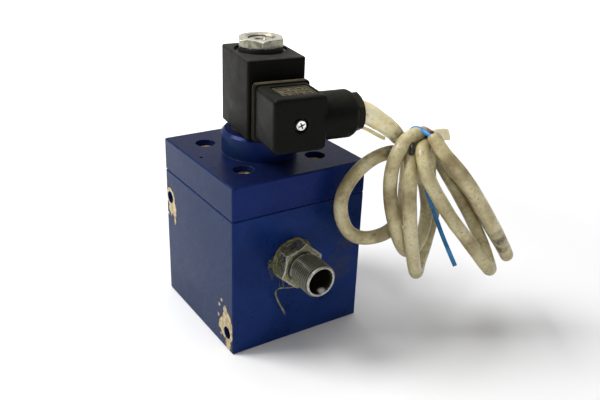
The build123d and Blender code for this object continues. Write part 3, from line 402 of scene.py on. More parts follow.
def fitting_metal(name):
    """Olive-stained zinc: dirt and painted shade down in the thread, dirt on the ring face, painted shade in the bore,
    bright edges, a painted highlight at the mouth.
    """
    k = Mat(name, metallic=1.0)
    big = k.noise(150, 5, 0.7, 1.2)
    mid = k.noise(500, 4, 0.7, 0.3)
    colour = k.mix(k.ramp(mid, 0.3, 0.7), (0.16, 0.16, 0.12), (0.30, 0.30, 0.235))
    # distance from the stud's axis
    mp = k.node("ShaderNodeMapping")
    k.put(mp.inputs["Vector"], k.co)
    mp.inputs["Location"].default_value = (0.0046, 0.0, -0.0486)
    mp.inputs["Scale"].default_value = (1, 0, 1)
    ln = k.node("ShaderNodeVectorMath", operation="LENGTH")
    k.put(ln.inputs[0], mp.outputs[0])
    rad = ln.outputs["Value"]
    sp = k.node("ShaderNodeSeparateXYZ")
    k.put(sp.inputs[0], k.co)
    along = k.math("SUBTRACT", -0.040, sp.outputs[1])
    on_thread = k.math("MULTIPLY", k.ramp(along, 0.0108, 0.0112), k.ramp(along, 0.0262, 0.0270, 1.0, 0.0))
    outside = k.ramp(rad, 0.0071, 0.0073)
    edge, soft = k.edges(k.math("SUBTRACT", 0.0010, k.math("MULTIPLY", on_thread, 0.00092)), 0.012, 0.13)
    # the thread darkened, most in its roots: dirt and painted shade
    groove_dirt_and_shade = k.math("MULTIPLY", k.math("MULTIPLY", on_thread, outside), k.ramp(rad, 0.0083, 0.0090, 1.0, 0.0))
    colour = k.mix(k.math("MULTIPLY", k.math("MULTIPLY", on_thread, outside), 0.55), colour, (0.085, 0.082, 0.055))
    colour = k.mix(k.math("MULTIPLY", groove_dirt_and_shade, 0.9), colour, (0.012, 0.012, 0.008))
    ring = k.math("MULTIPLY", k.facing((0, -1, 0), 0.75, 0.95), k.math("MULTIPLY", k.ramp(along, 0.0085, 0.0095), k.ramp(along, 0.0125, 0.0130, 1.0, 0.0)))
    olive = k.math("MULTIPLY", k.most(k.math("MULTIPLY", ring, 0.85), k.ramp(big, 0.40, 0.58)), k.ramp(rad, 0.0092, 0.0096))
    colour = k.mix(k.math("MULTIPLY", olive, 0.75), colour, k.mix(k.ramp(mid, 0.35, 0.65), (0.085, 0.083, 0.020), (0.33, 0.31, 0.115)))
    rust = k.math("MULTIPLY", k.ramp(k.noise(210, 4, 0.7, 0.5), 0.62, 0.70), k.ramp(rad, 0.0075, 0.0085))
    colour = k.mix(k.math("MULTIPLY", rust, 0.7), colour, (0.23, 0.12, 0.05))
    # painted shade inside the bore
    painted_bore_shade = k.math("MULTIPLY", k.ramp(rad, 0.0066, 0.0070, 1.0, 0.0), k.ramp(along, 0.0, 0.0262))
    colour = k.mix(k.math("MULTIPLY", painted_bore_shade, 0.93), colour, (0.02, 0.019, 0.014))
    worn = k.math("MULTIPLY", k.math("MULTIPLY", edge, k.ramp(mid, 0.25, 0.5)), k.math("SUBTRACT", 1.0, k.math("MULTIPLY", on_thread, k.math("MULTIPLY", outside, 0.8))))
    colour = k.mix(worn, colour, (0.92, 0.91, 0.86))
    # painted highlight on the mouth's inner cone
    painted_mouth_highlight = k.near((-0.0028, -0.0653, 0.0415), 0.0020, 0.0011)
    colour = k.mix(k.math("MULTIPLY", painted_mouth_highlight, k.ramp(rad, 0.0050, 0.0072, 1.0, 0.9)), colour, (1.0, 0.99, 0.95))
    stain = k.most(k.math("MULTIPLY", olive, 0.8), k.math("MULTIPLY", rust, 0.8), groove_dirt_and_shade)
    stain = k.math("MULTIPLY", stain, k.math("SUBTRACT", 1.0, painted_mouth_highlight))
    r = k.math("ADD", 0.27, k.math("MULTIPLY", stain, 0.3))
    r = k.math("SUBTRACT", r, k.math("MULTIPLY", worn, 0.05))
    met = k.math("SUBTRACT", k.math("SUBTRACT", 0.85, k.math("MULTIPLY", stain, 0.7)), k.most(k.math("MULTIPLY", worn, 0.6), k.math("MULTIPLY", painted_mouth_highlight, 0.8)), clamp=True)
    return k.done(colour, r, k.bump(k.math("ADD", mid, big), 0.00009, 0.6, soft), met)


M = {
    "blue": anodised("blue_anodised", (0.0045, 0.019, 0.105), (0.0085, 0.032, 0.155)),
    "blue_cover": anodised("blue_anodised_cover", (0.0040, 0.013, 0.090), (0.0075, 0.022, 0.125), chips=False),
    "coil": moulded("coil_plastic", (0.0030, 0.0029, 0.0024), (0.30, 0.28, 0.235), 0.62, 0.46),
    "conn": moulded("connector_plastic", (0.0034, 0.0036, 0.0030), (0.22, 0.21, 0.17), 0.30, 0.38),
    "gland": moulded("gland_plastic", (0.008, 0.008, 0.0055), (0.26, 0.25, 0.15), 0.45, 0.36),
    "panel": moulded("panel_dust", (0.050, 0.042, 0.026), (0.62, 0.53, 0.33), 0.9, 0.6),
    "rubber": simple("rubber", (0.008, 0.008, 0.008), 0.55),
    "gasket": moulded("gasket_rubber", (0.006, 0.006, 0.005), (0.95, 0.76, 0.46), 0.8, 0.6),
    "zinc": metal("zinc_steel", (0.30, 0.30, 0.235), (0.075, 0.072, 0.030), 0.75, 0.30, (1, 0.25, 1)),
    "nut": metal("nickel_nut", (0.30, 0.29, 0.225), (0.12, 0.11, 0.065), 0.55, 0.27, (1, 1, 2.5), top=0.8),
    "steel": metal("stainless", (0.60, 0.59, 0.56), (0.30, 0.27, 0.2), 0.35, 0.28),
    "screw": metal("bright_screw", (0.80, 0.80, 0.79), (0.35, 0.33, 0.28), 0.25, 0.2),
    "rust": rusty("rusty_steel"),
    "cross": crossed("cross_recess_screw"),
    "stud": fitting_metal("stained_zinc"),
    "brass": simple("brass", (0.72, 0.50, 0.22), 0.32, 1.0),
    "copper": simple("copper", (0.70, 0.34, 0.18), 0.35, 1.0),
    "tinned": simple("tinned", (0.72, 0.71, 0.68), 0.3, 1.0),
    "ptfe": simple("ptfe", (0.82, 0.82, 0.80), 0.5),
    "nylon": simple("nylon", (0.10, 0.10, 0.10), 0.5),
    "pvc": pvc("cable_jacket"),
    "tape": film("tape"),
    "hemp": hemp_mat("hemp"),
    "core_blue": insulation("core_blue", (0.035, 0.27, 0.62), (0.018, 0.13, 0.34)),
    "core_black": insulation("core_black", (0.010, 0.010, 0.011), (0.022, 0.020, 0.020)),
    "core_brown": insulation("core_brown", (0.30, 0.10, 0.04), (0.14, 0.05, 0.025)),
    "dust": simple("bevel_dust", (0.42, 0.36, 0.25), 0.85, 0.0, 0.2),
}

looks = {
    "body_block": "blue", "cover": "blue_cover", "cover_screws": "rust", "cover_o_ring": "rubber", "passage_o_ring": "rubber",
    "passage_plug": "rust", "inlet_fitting": "stud", "thread_sealant": "hemp", "seat_insert": "steel", "main_piston": "steel",
    "piston_ring": "ptfe", "piston_seal": "rubber", "seal_washer": "steel", "seal_screw": "rust", "main_spring": "steel",
    "pilot_nozzle": "brass", "armature": "steel", "armature_seal": "rubber", "core_tube": "steel", "tube_o_ring": "rubber",
    "fixed_core": "nut", "shading_ring": "copper", "armature_spring": "steel", "coil_bobbin": "nylon", "coil_winding": "copper",
    "coil_yoke": "zinc", "coil_housing": "coil", "coil_terminals": "tinned", "base_seal": "rubber", "coil_washer": "rubber",
    "coil_nut": "nut", "connector_gasket": "gasket", "contact_carrier": "nylon", "contact_sockets": "tinned",
    "connector_housing": "conn", "screw_seal": "rubber", "connector_screw": "cross", "terminal_screws": "zinc",
    "gland_grommet": "rubber", "gland_washer": "nylon", "gland_nut": "gland", "cable_lead": "pvc", "cable_coil": "pvc",
    "tape_wrap": "tape", "tape_strip": "tape", "core_blue": "core_blue", "core_black": "core_black", "core_brown": "core_brown",
}
for name, key in looks.items():
    mesh = nodes[name].data
    mesh.materials.clear()
    mesh.materials.append(M[key])

# ------------------------------------------------------------------ mesh helpers


def piece(name, verts, faces, material, replaces=(), matrix=None, sharp=32, body="valve"):
    """A mesh piece from local points, placed by a matrix, riding on a body."""
    if matrix is not None:
        verts = [matrix @ Vector(v) for v in verts]
    me = bpy.data.meshes.new(name)
    me.from_pydata([tuple(v) for v in verts], [], faces)
    bm = bmesh.new()
    bm.from_mesh(me)
    bmesh.ops.remove_doubles(bm, verts=bm.verts, dist=1e-7)
    bmesh.ops.recalc_face_normals(bm, faces=bm.faces)
    bm.to_mesh(me)
    bm.free()
    return dress(bpy.data.objects.new(name, me), material, replaces, sharp, body)


def dress(ob, material, replaces=(), sharp=32, body="valve"):
    if ob.name not in bpy.context.scene.collection.objects:
        bpy.context.scene.collection.objects.link(ob)
    if ob.type == "MESH":
        for p in ob.data.polygons:
            p.use_smooth = True
        ob.data.set_sharp_from_angle(angle=radians(sharp))
    ob.data.materials.clear()
    ob.data.materials.append(material)
    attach(ob, body)
    if replaces:
        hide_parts(*replaces)
    return ob


def angles(count, corners=()):
    """Evenly spaced angles with the hexagon's own corners put in exactly."""
    a = [2 * pi * i / count for i in range(count)]
    for c in corners:
        c = c % (2 * pi)
        i = min(range(len(a)), key=lambda j: abs((a[j] - c + pi) % (2 * pi) - pi))
        a[i] = c
    return sorted(a)


def turned(rows, thetas, closed=True):
    """Points and faces of a turned body: rows are (radius or radius(theta), height or height(theta))."""
    verts, faces, n = [], [], len(thetas)
    for r, h in rows:
        for t in thetas:
            rr = r(t) if callable(r) else r
            hh = h(t) if callable(h) else h
            verts.append((rr * cos(t), rr * sin(t), hh))
    k = len(rows)
    for i in range(k if closed else k - 1):
        j = (i + 1) % k
        for a in range(n):
            b = (a + 1) % n
            faces.append((i * n + a, i * n + b, j * n + b, j * n + a))
    if not closed:
        faces.append(tuple(range(n - 1, -1, -1)))
        faces.append(tuple(range((k - 1) * n, k * n)))
    return verts, faces


def hexagon(flats, turn):
    """Radius of a hexagon at an angle, with a corner at turn."""
    def r(t):
        a = (t - turn) % (pi / 3) - pi / 6
        return flats / 2 / cos(a)
    return r


def corners(turn):
    return [turn + i * pi / 3 for i in range(6)]


def thread(radius, depth, pitch, height, start=None, end=None, runout=0.0008, inner=False):
    """Radius as a function of angle for a helical thread row at one height."""
    def r(t):
        p = (height / pitch - t / (2 * pi)) % 1.0
        tri = abs(2 * p - 1)
        tri = min(1.0, max(0.0, (tri - 0.12) / 0.76))
        fade = 1.0
        if start is not None:
            fade = min(fade, max(0.0, (height - start) / runout))
        if end is not None:
            fade = min(fade, max(0.0, (end - height) / runout))
        return radius + depth * (1 - tri) * fade if inner else radius - depth * tri * fade
    return r


def rounded_rows(rows, segments=8):
    """A body whose sections are rounded rectangles: rows are (depth, x1, x2, y1, y2, corner radius)."""
    verts, faces, n = [], [], 4 * (segments + 1)
    for d, x1, x2, y1, y2, r in rows:
        for cx, cy, a0 in ((x2 - r, y2 - r, 0), (x1 + r, y2 - r, 90), (x1 + r, y1 + r, 180), (x2 - r, y1 + r, 270)):
            for s in range(segments + 1):
                a = radians(a0 + 90 * s / segments)
                verts.append((cx + r * cos(a), cy + r * sin(a), d))
    for i in range(len(rows) - 1):
        for a in range(n):
            b = (a + 1) % n
            faces.append((i * n + a, i * n + b, (i + 1) * n + b, (i + 1) * n + a))
    faces.append(tuple(range(n - 1, -1, -1)))
    faces.append(tuple(range((len(rows) - 1) * n, len(rows) * n)))
    return verts, faces


def loose(name, verts, faces, matrix):
    me = bpy.data.meshes.new(name)
    me.from_pydata([tuple(matrix @ Vector(v)) for v in verts], [], faces)
    bm = bmesh.new()
    bm.from_mesh(me)
    bmesh.ops.recalc_face_normals(bm, faces=bm.faces)
    bm.to_mesh(me)
    bm.free()
    ob = bpy.data.objects.new(name, me)
    bpy.context.scene.collection.objects.link(ob)
    return ob


def cut(ob, cutters, op="DIFFERENCE"):
    """Applies booleans and removes the cutters."""
    for c in cutters:
        b = ob.modifiers.new("cut", "BOOLEAN")
        b.operation, b.solver, b.object = op, "EXACT", c
    bpy.context.view_layer.update()
    dg = bpy.context.evaluated_depsgraph_get()
    me = bpy.data.meshes.new_from_object(ob.evaluated_get(dg))
    ob.modifiers.clear()
    ob.data = me
    for c in cutters:
        bpy.data.objects.remove(c)
    return ob


def centreline(route, order=3):
    """Points of the smooth line that a route's NURBS spline makes."""
    cu = bpy.data.curves.new("line", "CURVE")
    cu.dimensions = "3D"
    cu.resolution_u = 12
    sp = cu.splines.new("NURBS")
    sp.points.add(len(route) - 1)
    for p, q in zip(sp.points, route):
        p.co = (*q, 1.0)
    sp.order_u = order
    sp.use_endpoint_u = True
    ob = bpy.data.objects.new("line", cu)
    bpy.context.scene.collection.objects.link(ob)
    bpy.context.view_layer.update()
    me = bpy.data.meshes.new_from_object(ob.evaluated_get(bpy.context.evaluated_depsgraph_get()))
    pts = [v.co.copy() for v in me.vertices]
    bpy.data.objects.remove(ob)
    return pts


def frames(pts):
    """Tangent and turning-free side vectors along a line."""
    tang = []
    for i in range(len(pts)):
        a, b = pts[max(0, i - 1)], pts[min(len(pts) - 1, i + 1)]
        tang.append((b - a).normalized())
    side = tang[0].orthogonal().normalized()
    out = []
    for i, t in enumerate(tang):
        if i:
            side = tang[i - 1].rotation_difference(t) @ side
        side = (side - t * side.dot(t)).normalized()
        out.append((t, side, t.cross(side)))
    return out


def tube(pts, radius, around=20, cap=True):
    """Skin along a line; radius is a number or radius(distance, angle, index)."""
    fr = frames(pts)
    verts, faces, s = [], [], 0.0
    for i, p in enumerate(pts):
        if i:
            s += (p - pts[i - 1]).length
        t, a, b = fr[i]
        for k in range(around):
            th = 2 * pi * k / around
            r = radius(s, th, i) if callable(radius) else radius
            verts.append(p + a * (r * cos(th)) + b * (r * sin(th)))
    n = around
    for i in range(len(pts) - 1):
        for k in range(n):
            j = (k + 1) % n
            faces.append((i * n + k, i * n + j, (i + 1) * n + j, (i + 1) * n + k))
    if cap:
        faces.append(tuple(range(n - 1, -1, -1)))
        faces.append(tuple(range((len(pts) - 1) * n, len(pts) * n)))
    return verts, faces


# ------------------------------------------------------------------ the cable
cable_route = [
    # from the gland down to the tie
    (0.0274, -0.0458, 0.1264), (0.0302, -0.0462, 0.1263), (0.0360, -0.0484, 0.1228), (0.0455, -0.0525, 0.116), (0.0505, -0.052, 0.1105), (0.0595, -0.0505, 0.1035),
    # the turn beside the block
    (0.061, -0.049, 0.0955), (0.058, -0.0525, 0.084), (0.0505, -0.0615, 0.0715), (0.042, -0.0615, 0.062), (0.028, -0.058, 0.06),
    (0.02, -0.0535, 0.064), (0.0175, -0.0495, 0.0745), (0.0195, -0.048, 0.085), (0.0265, -0.049, 0.095), (0.0355, -0.051, 0.102),
    (0.045, -0.054, 0.105), (0.05, -0.056, 0.1035), (0.053, -0.0565, 0.102),
    # second turn
    (0.0595, -0.0575, 0.099), (0.067, -0.056, 0.0875), (0.075, -0.053, 0.07), (0.071, -0.058, 0.06), (0.063, -0.063, 0.0515),
    (0.0525, -0.0665, 0.049), (0.044, -0.068, 0.0585), (0.0365, -0.069, 0.076), (0.0345, -0.067, 0.0905), (0.0365, -0.0655, 0.1045),
    (0.0425, -0.064, 0.1115), (0.0465, -0.0625, 0.114), (0.054, -0.063, 0.1165), (0.062, -0.064, 0.113),
    # third turn
    (0.0655, -0.0605, 0.105), (0.078, -0.049, 0.0815), (0.082, -0.0525, 0.0665), (0.078, -0.055, 0.0575), (0.07, -0.0605, 0.048),
    (0.0625, -0.065, 0.041), (0.0535, -0.073, 0.038), (0.0475, -0.075, 0.0535), (0.043, -0.076, 0.0715), (0.042, -0.0745, 0.085),
    (0.042, -0.073, 0.0975), (0.0465, -0.0675, 0.105), (0.0515, -0.0615, 0.1075), (0.0615, -0.0545, 0.1115),
    # fourth turn
    (0.075, -0.052, 0.1015), (0.082, -0.0525, 0.091), (0.0955, -0.058, 0.0695), (0.101, -0.0705, 0.0505), (0.097, -0.0835, 0.0405),
    (0.091, -0.091, 0.04), (0.083, -0.0945, 0.047), (0.069, -0.09, 0.0655), (0.059, -0.086, 0.0785), (0.0485, -0.0785, 0.0985),
    (0.048, -0.075, 0.107), (0.051, -0.07, 0.111), (0.057, -0.0685, 0.1115),
    # fifth turn, up to the jacket's end
    (0.066, -0.069, 0.108), (0.079, -0.059, 0.0955), (0.095, -0.0635, 0.0775), (0.1035, -0.0705, 0.0605), (0.1065, -0.085, 0.046),
    (0.1025, -0.091, 0.046), (0.0975, -0.0935, 0.0515), (0.082, -0.0945, 0.0725), (0.067, -0.0895, 0.0955), (0.061, -0.084, 0.1045),
    (0.0555, -0.078, 0.112), (0.056, -0.0715, 0.117),
]
core_routes = {
    "core_blue": [(0.0552, -0.0707, 0.117), (0.0546, -0.0672, 0.1178), (0.0538, -0.0635, 0.1188), (0.0526, -0.0603, 0.1184), (0.0526, -0.0579, 0.1155), (0.0548, -0.056, 0.1096), (0.0599, -0.0548, 0.1011), (0.0676, -0.0556, 0.085), (0.0723, -0.061, 0.0689), (0.073, -0.0704, 0.0551), (0.0729, -0.082, 0.0435)],
    "core_black": [(0.0556, -0.0706, 0.1153), (0.0561, -0.066, 0.1148), (0.0556, -0.0616, 0.1149), (0.0536, -0.0594, 0.1151), (0.0492, -0.0625, 0.114), (0.0464, -0.0678, 0.1117), (0.0456, -0.0685, 0.1081), (0.047, -0.0646, 0.1038)],
    "core_brown": [(0.0559, -0.0705, 0.1183), (0.0584, -0.0645, 0.1177), (0.0604, -0.0585, 0.1166), (0.0623, -0.0538, 0.1131), (0.0639, -0.051, 0.1081), (0.0664, -0.0502, 0.1006), (0.0693, -0.0508, 0.0934)],
}


def length_of(pts):
    return sum((b - a).length for a, b in zip(pts, pts[1:]))


line = centreline(cable_route)
cable_length = length_of(line)


def jacket(s, th, i):
    """The jacket is never quite round: shallow flats and a drawn-in cut end."""
    r = 0.00365
    r += 0.00005 * sin(2 * th + s * 60) + 0.00004 * sin(3 * th - s * 95 + 1.0) + 0.00004 * sin(s * 420)
    left = cable_length - s
    if left < 0.0012:
        r -= 0.00035 * (1 - left / 0.0012) ** 2
    return r


v, f = tube(line, jacket, 28)
cable = piece("cable", v, f, M["pvc"], ("cable_lead", "cable_coil"), sharp=60)
print("cable length", round(cable_length, 4))

for name, route in core_routes.items():
    pts = centreline(route)
    v, f = tube(pts, 0.0012, 16)
    piece(name.replace("core", "wire"), v, f, M[name], (name,), sharp=60)

# tape wound over the cable's first stretch, in overlapping turns
tape_pts, run = [], 0.0
for a, b in zip(line, line[1:]):
    run += (b - a).length
    if 0.0001 <= run <= 0.0285:
        tape_pts.append(b)


def wound(s, th, i):
    total = 0.0282
    lap = (s / 0.0085 - th / (2 * pi)) % 1.0
    k = min(1.0, max(0.0, s / total))
    r = 0.00540 - 0.00140 * k ** 0.9
    r += 0.00016 * lap
    # a flat fin of doubled tape along the upper outer side, fading out
    fin = max(0.0, cos(th - FIN)) ** 6
    r += 0.00070 * fin * (1 - k) ** 0.9
    # a pressed-in crease beside it
    r -= 0.00045 * max(0.0, cos(th - FIN - 1.9)) ** 14 * min(1, s / 0.002)
    r -= 0.00030 * max(0.0, cos(th - FIN + 2.0 + 9 * s)) ** 10
    if s < 0.0012:
        r -= 0.0007 * (1 - s / 0.0012)
    return r


FIN = 0.6
v, f = tube(tape_pts, wound, 72, cap=False)
tape = piece("tape_winding", v, f, M["tape"], ("tape_wrap",), sharp=40)
so = tape.modifiers.new("thickness", "SOLIDIFY")
so.thickness, so.offset = 0.00045, -1

# the loose end: a doubled strip with a pinched fold, slightly cupped
strip_dir = Vector((0.79, -0.43, -0.44)).normalized()
wide = strip_dir.cross(Vector((0.1, -0.8, 0.6))).normalized()
flat_n = wide.cross(strip_dir).normalized()
start = Vector((0.0277, -0.0495, 0.1200))
verts, faces = [], []
rows_, cols_ = 18, 11
for layer in (0, 1):
    for i in range(rows_):
        t = i / (rows_ - 1)
        for j in range(cols_):
            w = (j / (cols_ - 1) - 0.5)
            lift = 0.0005 * sin(t * 4.0 + layer) + 0.0011 * (abs(w) * 2) ** 2 * (0.5 + 0.5 * t)
            fold = 0.00045 * (1 if abs(w) < 0.07 else 0)
            p = start + strip_dir * (0.0138 * t) + wide * (0.0020 * w * (1 - 0.08 * t)) - Vector((0, 0, 0.0006)) + flat_n * (lift * 0.55 + fold - layer * 0.00025 * (1 + t))
            verts.append(p)
    o = layer * rows_ * cols_
    for i in range(rows_ - 1):
        for j in range(cols_ - 1):
            a = o + i * cols_ + j
            faces.append((a, a + 1, a + cols_ + 1, a + cols_))
strip = piece("tape_loose_end", verts, faces, M["tape"], ("tape_strip",), sharp=60)
so = strip.modifiers.new("thickness", "SOLIDIFY")
so.thickness, so.offset = 0.00016, 0

# ------------------------------------------------------------------ pipe fitting
hx = radians(79.0)
th_ = angles(252, corners(hx))
rows = [(0.00605, 0.0224), (0.0050, 0.0164), (0.0050, -0.0124), (0.0078, -0.0124), (0.00833, -0.0110), (0.00833, 0.0),
        (0.0108, 0.0), (0.0110, 0.0003), (0.0110, 0.0023), (0.0108, 0.0025)]
hexr = hexagon(0.022, hx)


def hexrow(z, z1=0.0025, z2=0.0107):
    """Hexagon with 30 degree turned chamfers at both ends."""
    def r(t):
        lim = min(0.01275, 0.0114 + (z - z1) * 1.5, 0.0110 + (z2 - z) * 1.55)
        return min(hexr(t), lim)
    return r


for z in (0.00252, 0.0028, 0.0031, 0.0034, 0.0037, 0.0060, 0.0085, 0.0095, 0.0098, 0.0101, 0.0104, 0.0107):
    rows.append((hexrow(z), z))
rows += [(0.0104, 0.01075), (0.0078, 0.0108), (0.0074, 0.0111), (0.0074, 0.0127), (0.0076, 0.0130)]
z = 0.0133
while z < 0.0262:
    rows.append((thread(0.0090, 0.00088, 0.0015, z, 0.0129, None, 0.0006), z))
    z += 0.0015 / 9
rows += [(0.00835, 0.0266), (0.00805, 0.02725), (0.0078, 0.0274), (0.0073, 0.0274), (0.0071, 0.0272)]
v, f = turned(rows, th_)
fitting = piece("stud_coupling", v, f, M["stud"], ("inlet_fitting",), INLET, 28)

# hemp fibres and paste round the collar
hv, hf = [], []


def fibre(pts, r0, r1):
    k = len(hv)
    v, f = tube([Vector(p) for p in pts], lambda s, th, i: r0 + (r1 - r0) * i / (len(pts) - 1), 6)
    hv.extend(v)
    hf.extend(tuple(k + a for a in face) for face in f)


for i in range(150):
    a0 = rnd.uniform(0, 2 * pi)
    span = rnd.uniform(0.25, 1.1)
    r0 = rnd.uniform(0.01112, 0.0120)
    lift = rnd.uniform(0.0001, 0.0018)
    pts = []
    for s in range(9):
        t = s / 8
        a = a0 + span * t
        r = r0 + 0.0006 * sin(3 * t + i) + rnd.uniform(-0.00012, 0.00012)
        pts.append(INLET @ Vector((r * cos(a), r * sin(a), max(0.00012, lift * (0.4 + 0.6 * sin(pi * t)) + rnd.uniform(-0.0001, 0.0001)))))
    fibre(pts, 0.00014, 0.00007)
for i in range(16):  # short tufts standing off the collar's lower left
    a = radians(rnd.uniform(150, 300))
    pts = [INLET @ Vector(((0.0114 + q * 0.0011) * cos(a + q * 0.05), (0.0114 + q * 0.0011) * sin(a + q * 0.05), 0.0004 + q * 0.0005 * rnd.uniform(0.4, 1.3))) for q in range(5)]
    fibre(pts, 0.00010, 0.00005)
strand = [(-0.0078, -0.0490, 0.0372), (-0.0093, -0.0455, 0.0352), (-0.0122, -0.0440, 0.0352), (-0.0149, -0.0432, 0.0350), (-0.0161, -0.0430, 0.0336),
          (-0.0162, -0.0430, 0.0320), (-0.0159, -0.0430, 0.0308), (-0.0148, -0.0430, 0.0276), (-0.0133, -0.0430, 0.0244), (-0.0116, -0.0430, 0.0210), (-0.0101, -0.0430, 0.0177)]
fibre(strand, 0.00034, 0.00016)
for dx, dz, n0 in ((0.0003, 0.0004, 2), (-0.0004, -0.0002, 3), (0.0006, -0.0010, 6)):
    fibre([(x + dx * (1 + 0.4 * sin(i)), y - 0.0002, z + dz) for i, (x, y, z) in enumerate(strand[n0:])], 0.00016, 0.00007)
for i in range(22):  # a tuft caught on the block beside the collar
    o = Vector((-0.0186 + rnd.uniform(-0.0012, 0.0012), -0.0402, 0.0492 + rnd.uniform(-0.0022, 0.0022)))
    d = Vector((rnd.uniform(-1, 1), rnd.uniform(-0.7, -0.1), rnd.uniform(-1, 1))).normalized()
    fibre([o + d * (0.0004 * q) + Vector((0.0002 * sin(q + i), 0, 0.0002 * cos(2 * q + i))) for q in range(5)], 0.00013, 0.00006)
hemp = piece("hemp_fibres", hv, hf, M["hemp"], ("thread_sealant",), sharp=60)

# squeezed-out paste under the fibres: an uneven bead
paste_rows = []
for j in range(9):
    q = pi * j / 8
    paste_rows.append((lambda t, q=q: 0.0110 + 0.0002 + (0.00055 + 0.00035 * sin(5 * t + 1) + 0.00022 * sin(11 * t)) * sin(q),
                       lambda t, q=q: 0.00075 - 0.00070 * cos(q) * (1 + 0.3 * sin(7 * t))))
v, f = turned(paste_rows, angles(180))
paste = piece("sealing_paste", v, f, M["hemp"], (), INLET, 60)

# ------------------------------------------------------------------ nut, washer and stud on the tube
nt = radians(-115.3)
nr = hexagon(0.022, nt)
z0, z1 = 0.1531, 0.1574


def nutrow(z):
    def r(t):
        lim = min(0.01275, 0.0118 + (z - z0) * 1.6, 0.0110 + (z1 - z) * 1.75)
        return min(nr(t), lim)
    return r


rows = []
zz = z0 + 0.0006
inner = []
z = z1 - 0.0007
while z > z0 + 0.0005:
    inner.append((thread(0.0066, 0.00045, 0.0015, z, z0 + 0.0003, z1 - 0.0004, 0.0003, True), z))
    z -= 0.0015 / 9
inner = [(0.0078, z1 - 0.00002), (0.0076, z1 - 0.0002)] + inner + [(0.0076, z0 + 0.0002), (0.0078, z0)]
rows = inner + [(0.0112, z0)]
for z in (z0 + 0.0001, z0 + 0.0004, z0 + 0.0006, z0 + 0.0020, z1 - 0.0016, z1 - 0.0012, z1 - 0.0009, z1 - 0.0006, z1 - 0.0003, z1 - 0.00005):
    rows.append((nutrow(z), z))
rows.append((0.0106, z1))
v, f = turned(rows, angles(252, corners(nt)))
nut = piece("lock_nut", v, f, M["nut"], ("coil_nut",), UP, 26)

# ------------------------------------------------------------------ coil housing
c = 0.01555
cb, ct = 0.1102, 0.1511
rows = [(cb, -c + 0.0008, c - 0.0008, -0.0214, 0.0156, 0.0010), (cb + 0.0003, -c + 0.0003, c - 0.0003, -0.0219, 0.0161, 0.0012),
        (cb + 0.0008, -c, c, -0.0222, 0.0164, 0.0015), (0.1300, -c, c, -0.0222, 0.0164, 0.0015), (ct - 0.0010, -c, c, -0.0222, 0.0164, 0.0015)]
for s in range(1, 7):
    a = pi / 2 * s / 6
    o = 0.0010 * (1 - cos(a))
    rows.append((ct - 0.0010 + 0.0010 * sin(a), -c + o, c - o, -0.0222 + o, 0.0164 - o, 0.0015 - o * 0.6))
v, f = rounded_rows(rows, 8)
shell = loose("moulded_coil", v, f, COIL)
platform = [(0.0210, -0.0129, 0.0129, 0.1139, 0.1394, 0.0020), (0.0258, -0.0129, 0.0129, 0.1139, 0.1394, 0.0020), (0.0262, -0.0126, 0.0126, 0.1142, 0.1391, 0.0019)]
v, f = rounded_rows(platform, 6)
plat = loose("plat", v, f, FACE)
v, f = turned([(0.0136, 0.1497), (0.0136, 0.1514), (0.0139, 0.1520)], angles(96), closed=False)
pocket = loose("pocket", v, f, UP)
v, f = turned([(0.0072, 0.1090), (0.0072, 0.1530)], angles(64), closed=False)
bore = loose("bore", v, f, UP)
cut(shell, [plat], "UNION")
cut(shell, [pocket, bore])
dress(shell, M["coil"], ("coil_housing",), 32)

# a crust of dust lying in the recess round the washer
dv, df = [], []
for k in range(46):
    a = radians(rnd.choice([rnd.uniform(150, 215), rnd.uniform(-40, 5)]))
    r = rnd.uniform(0.0120, 0.0134)
    s = rnd.uniform(0.00022, 0.00055)
    b = bmesh.new()
    bmesh.ops.create_icosphere(b, subdivisions=1, radius=s)
    for q in b.verts:
        q.co = Vector((q.co.x * rnd.uniform(0.8, 1.5), q.co.y * rnd.uniform(0.8, 1.5), q.co.z * 0.55))
    b.verts.ensure_lookup_table()
    o = len(dv)
    dv.extend(UP @ (Vector((r * cos(a), r * sin(a), 0.14985 + s * 0.3)) + q.co) for q in b.verts)
    df.extend(tuple(o + q.index for q in face.verts) for face in b.faces)
    b.free()
crumbs = piece("dust_crumbs", dv, df, M["dust"], (), None, 60)

# ------------------------------------------------------------------ connector gasket: lipped rubber plate
g = 0.0149
gy1, gy2 = 0.1116, 0.1415
rows = [(0.0262, -g + 0.0009, g - 0.0009, gy1 + 0.0009, gy2 - 0.0009, 0.0020), (0.0264, -g + 0.0001, g - 0.0001, gy1 + 0.0001, gy2 - 0.0001, 0.0024),
        (0.0270, -g, g, gy1, gy2, 0.0024), (0.0273, -g + 0.0002, g - 0.0002, gy1 + 0.0002, gy2 - 0.0002, 0.0023),
        (0.0275, -g + 0.0009, g - 0.0009, gy1 + 0.0009, gy2 - 0.0009, 0.0020), (0.0281, -g + 0.0010, g - 0.0010, gy1 + 0.0010, gy2 - 0.0010, 0.0020),
        (0.0283, -g + 0.0002, g - 0.0002, gy1 + 0.0002, gy2 - 0.0002, 0.0023), (0.0286, -g, g, gy1, gy2, 0.0024),
        (0.0290, -g + 0.0002, g - 0.0002, gy1 + 0.0002, gy2 - 0.0002, 0.0023), (0.0292, -g + 0.0010, g - 0.0010, gy1 + 0.0010, gy2 - 0.0010, 0.0020)]
v, f = rounded_rows(rows, 6)
gasket = piece("plug_gasket", v, f, M["gasket"], ("connector_gasket",), FACE, 50)

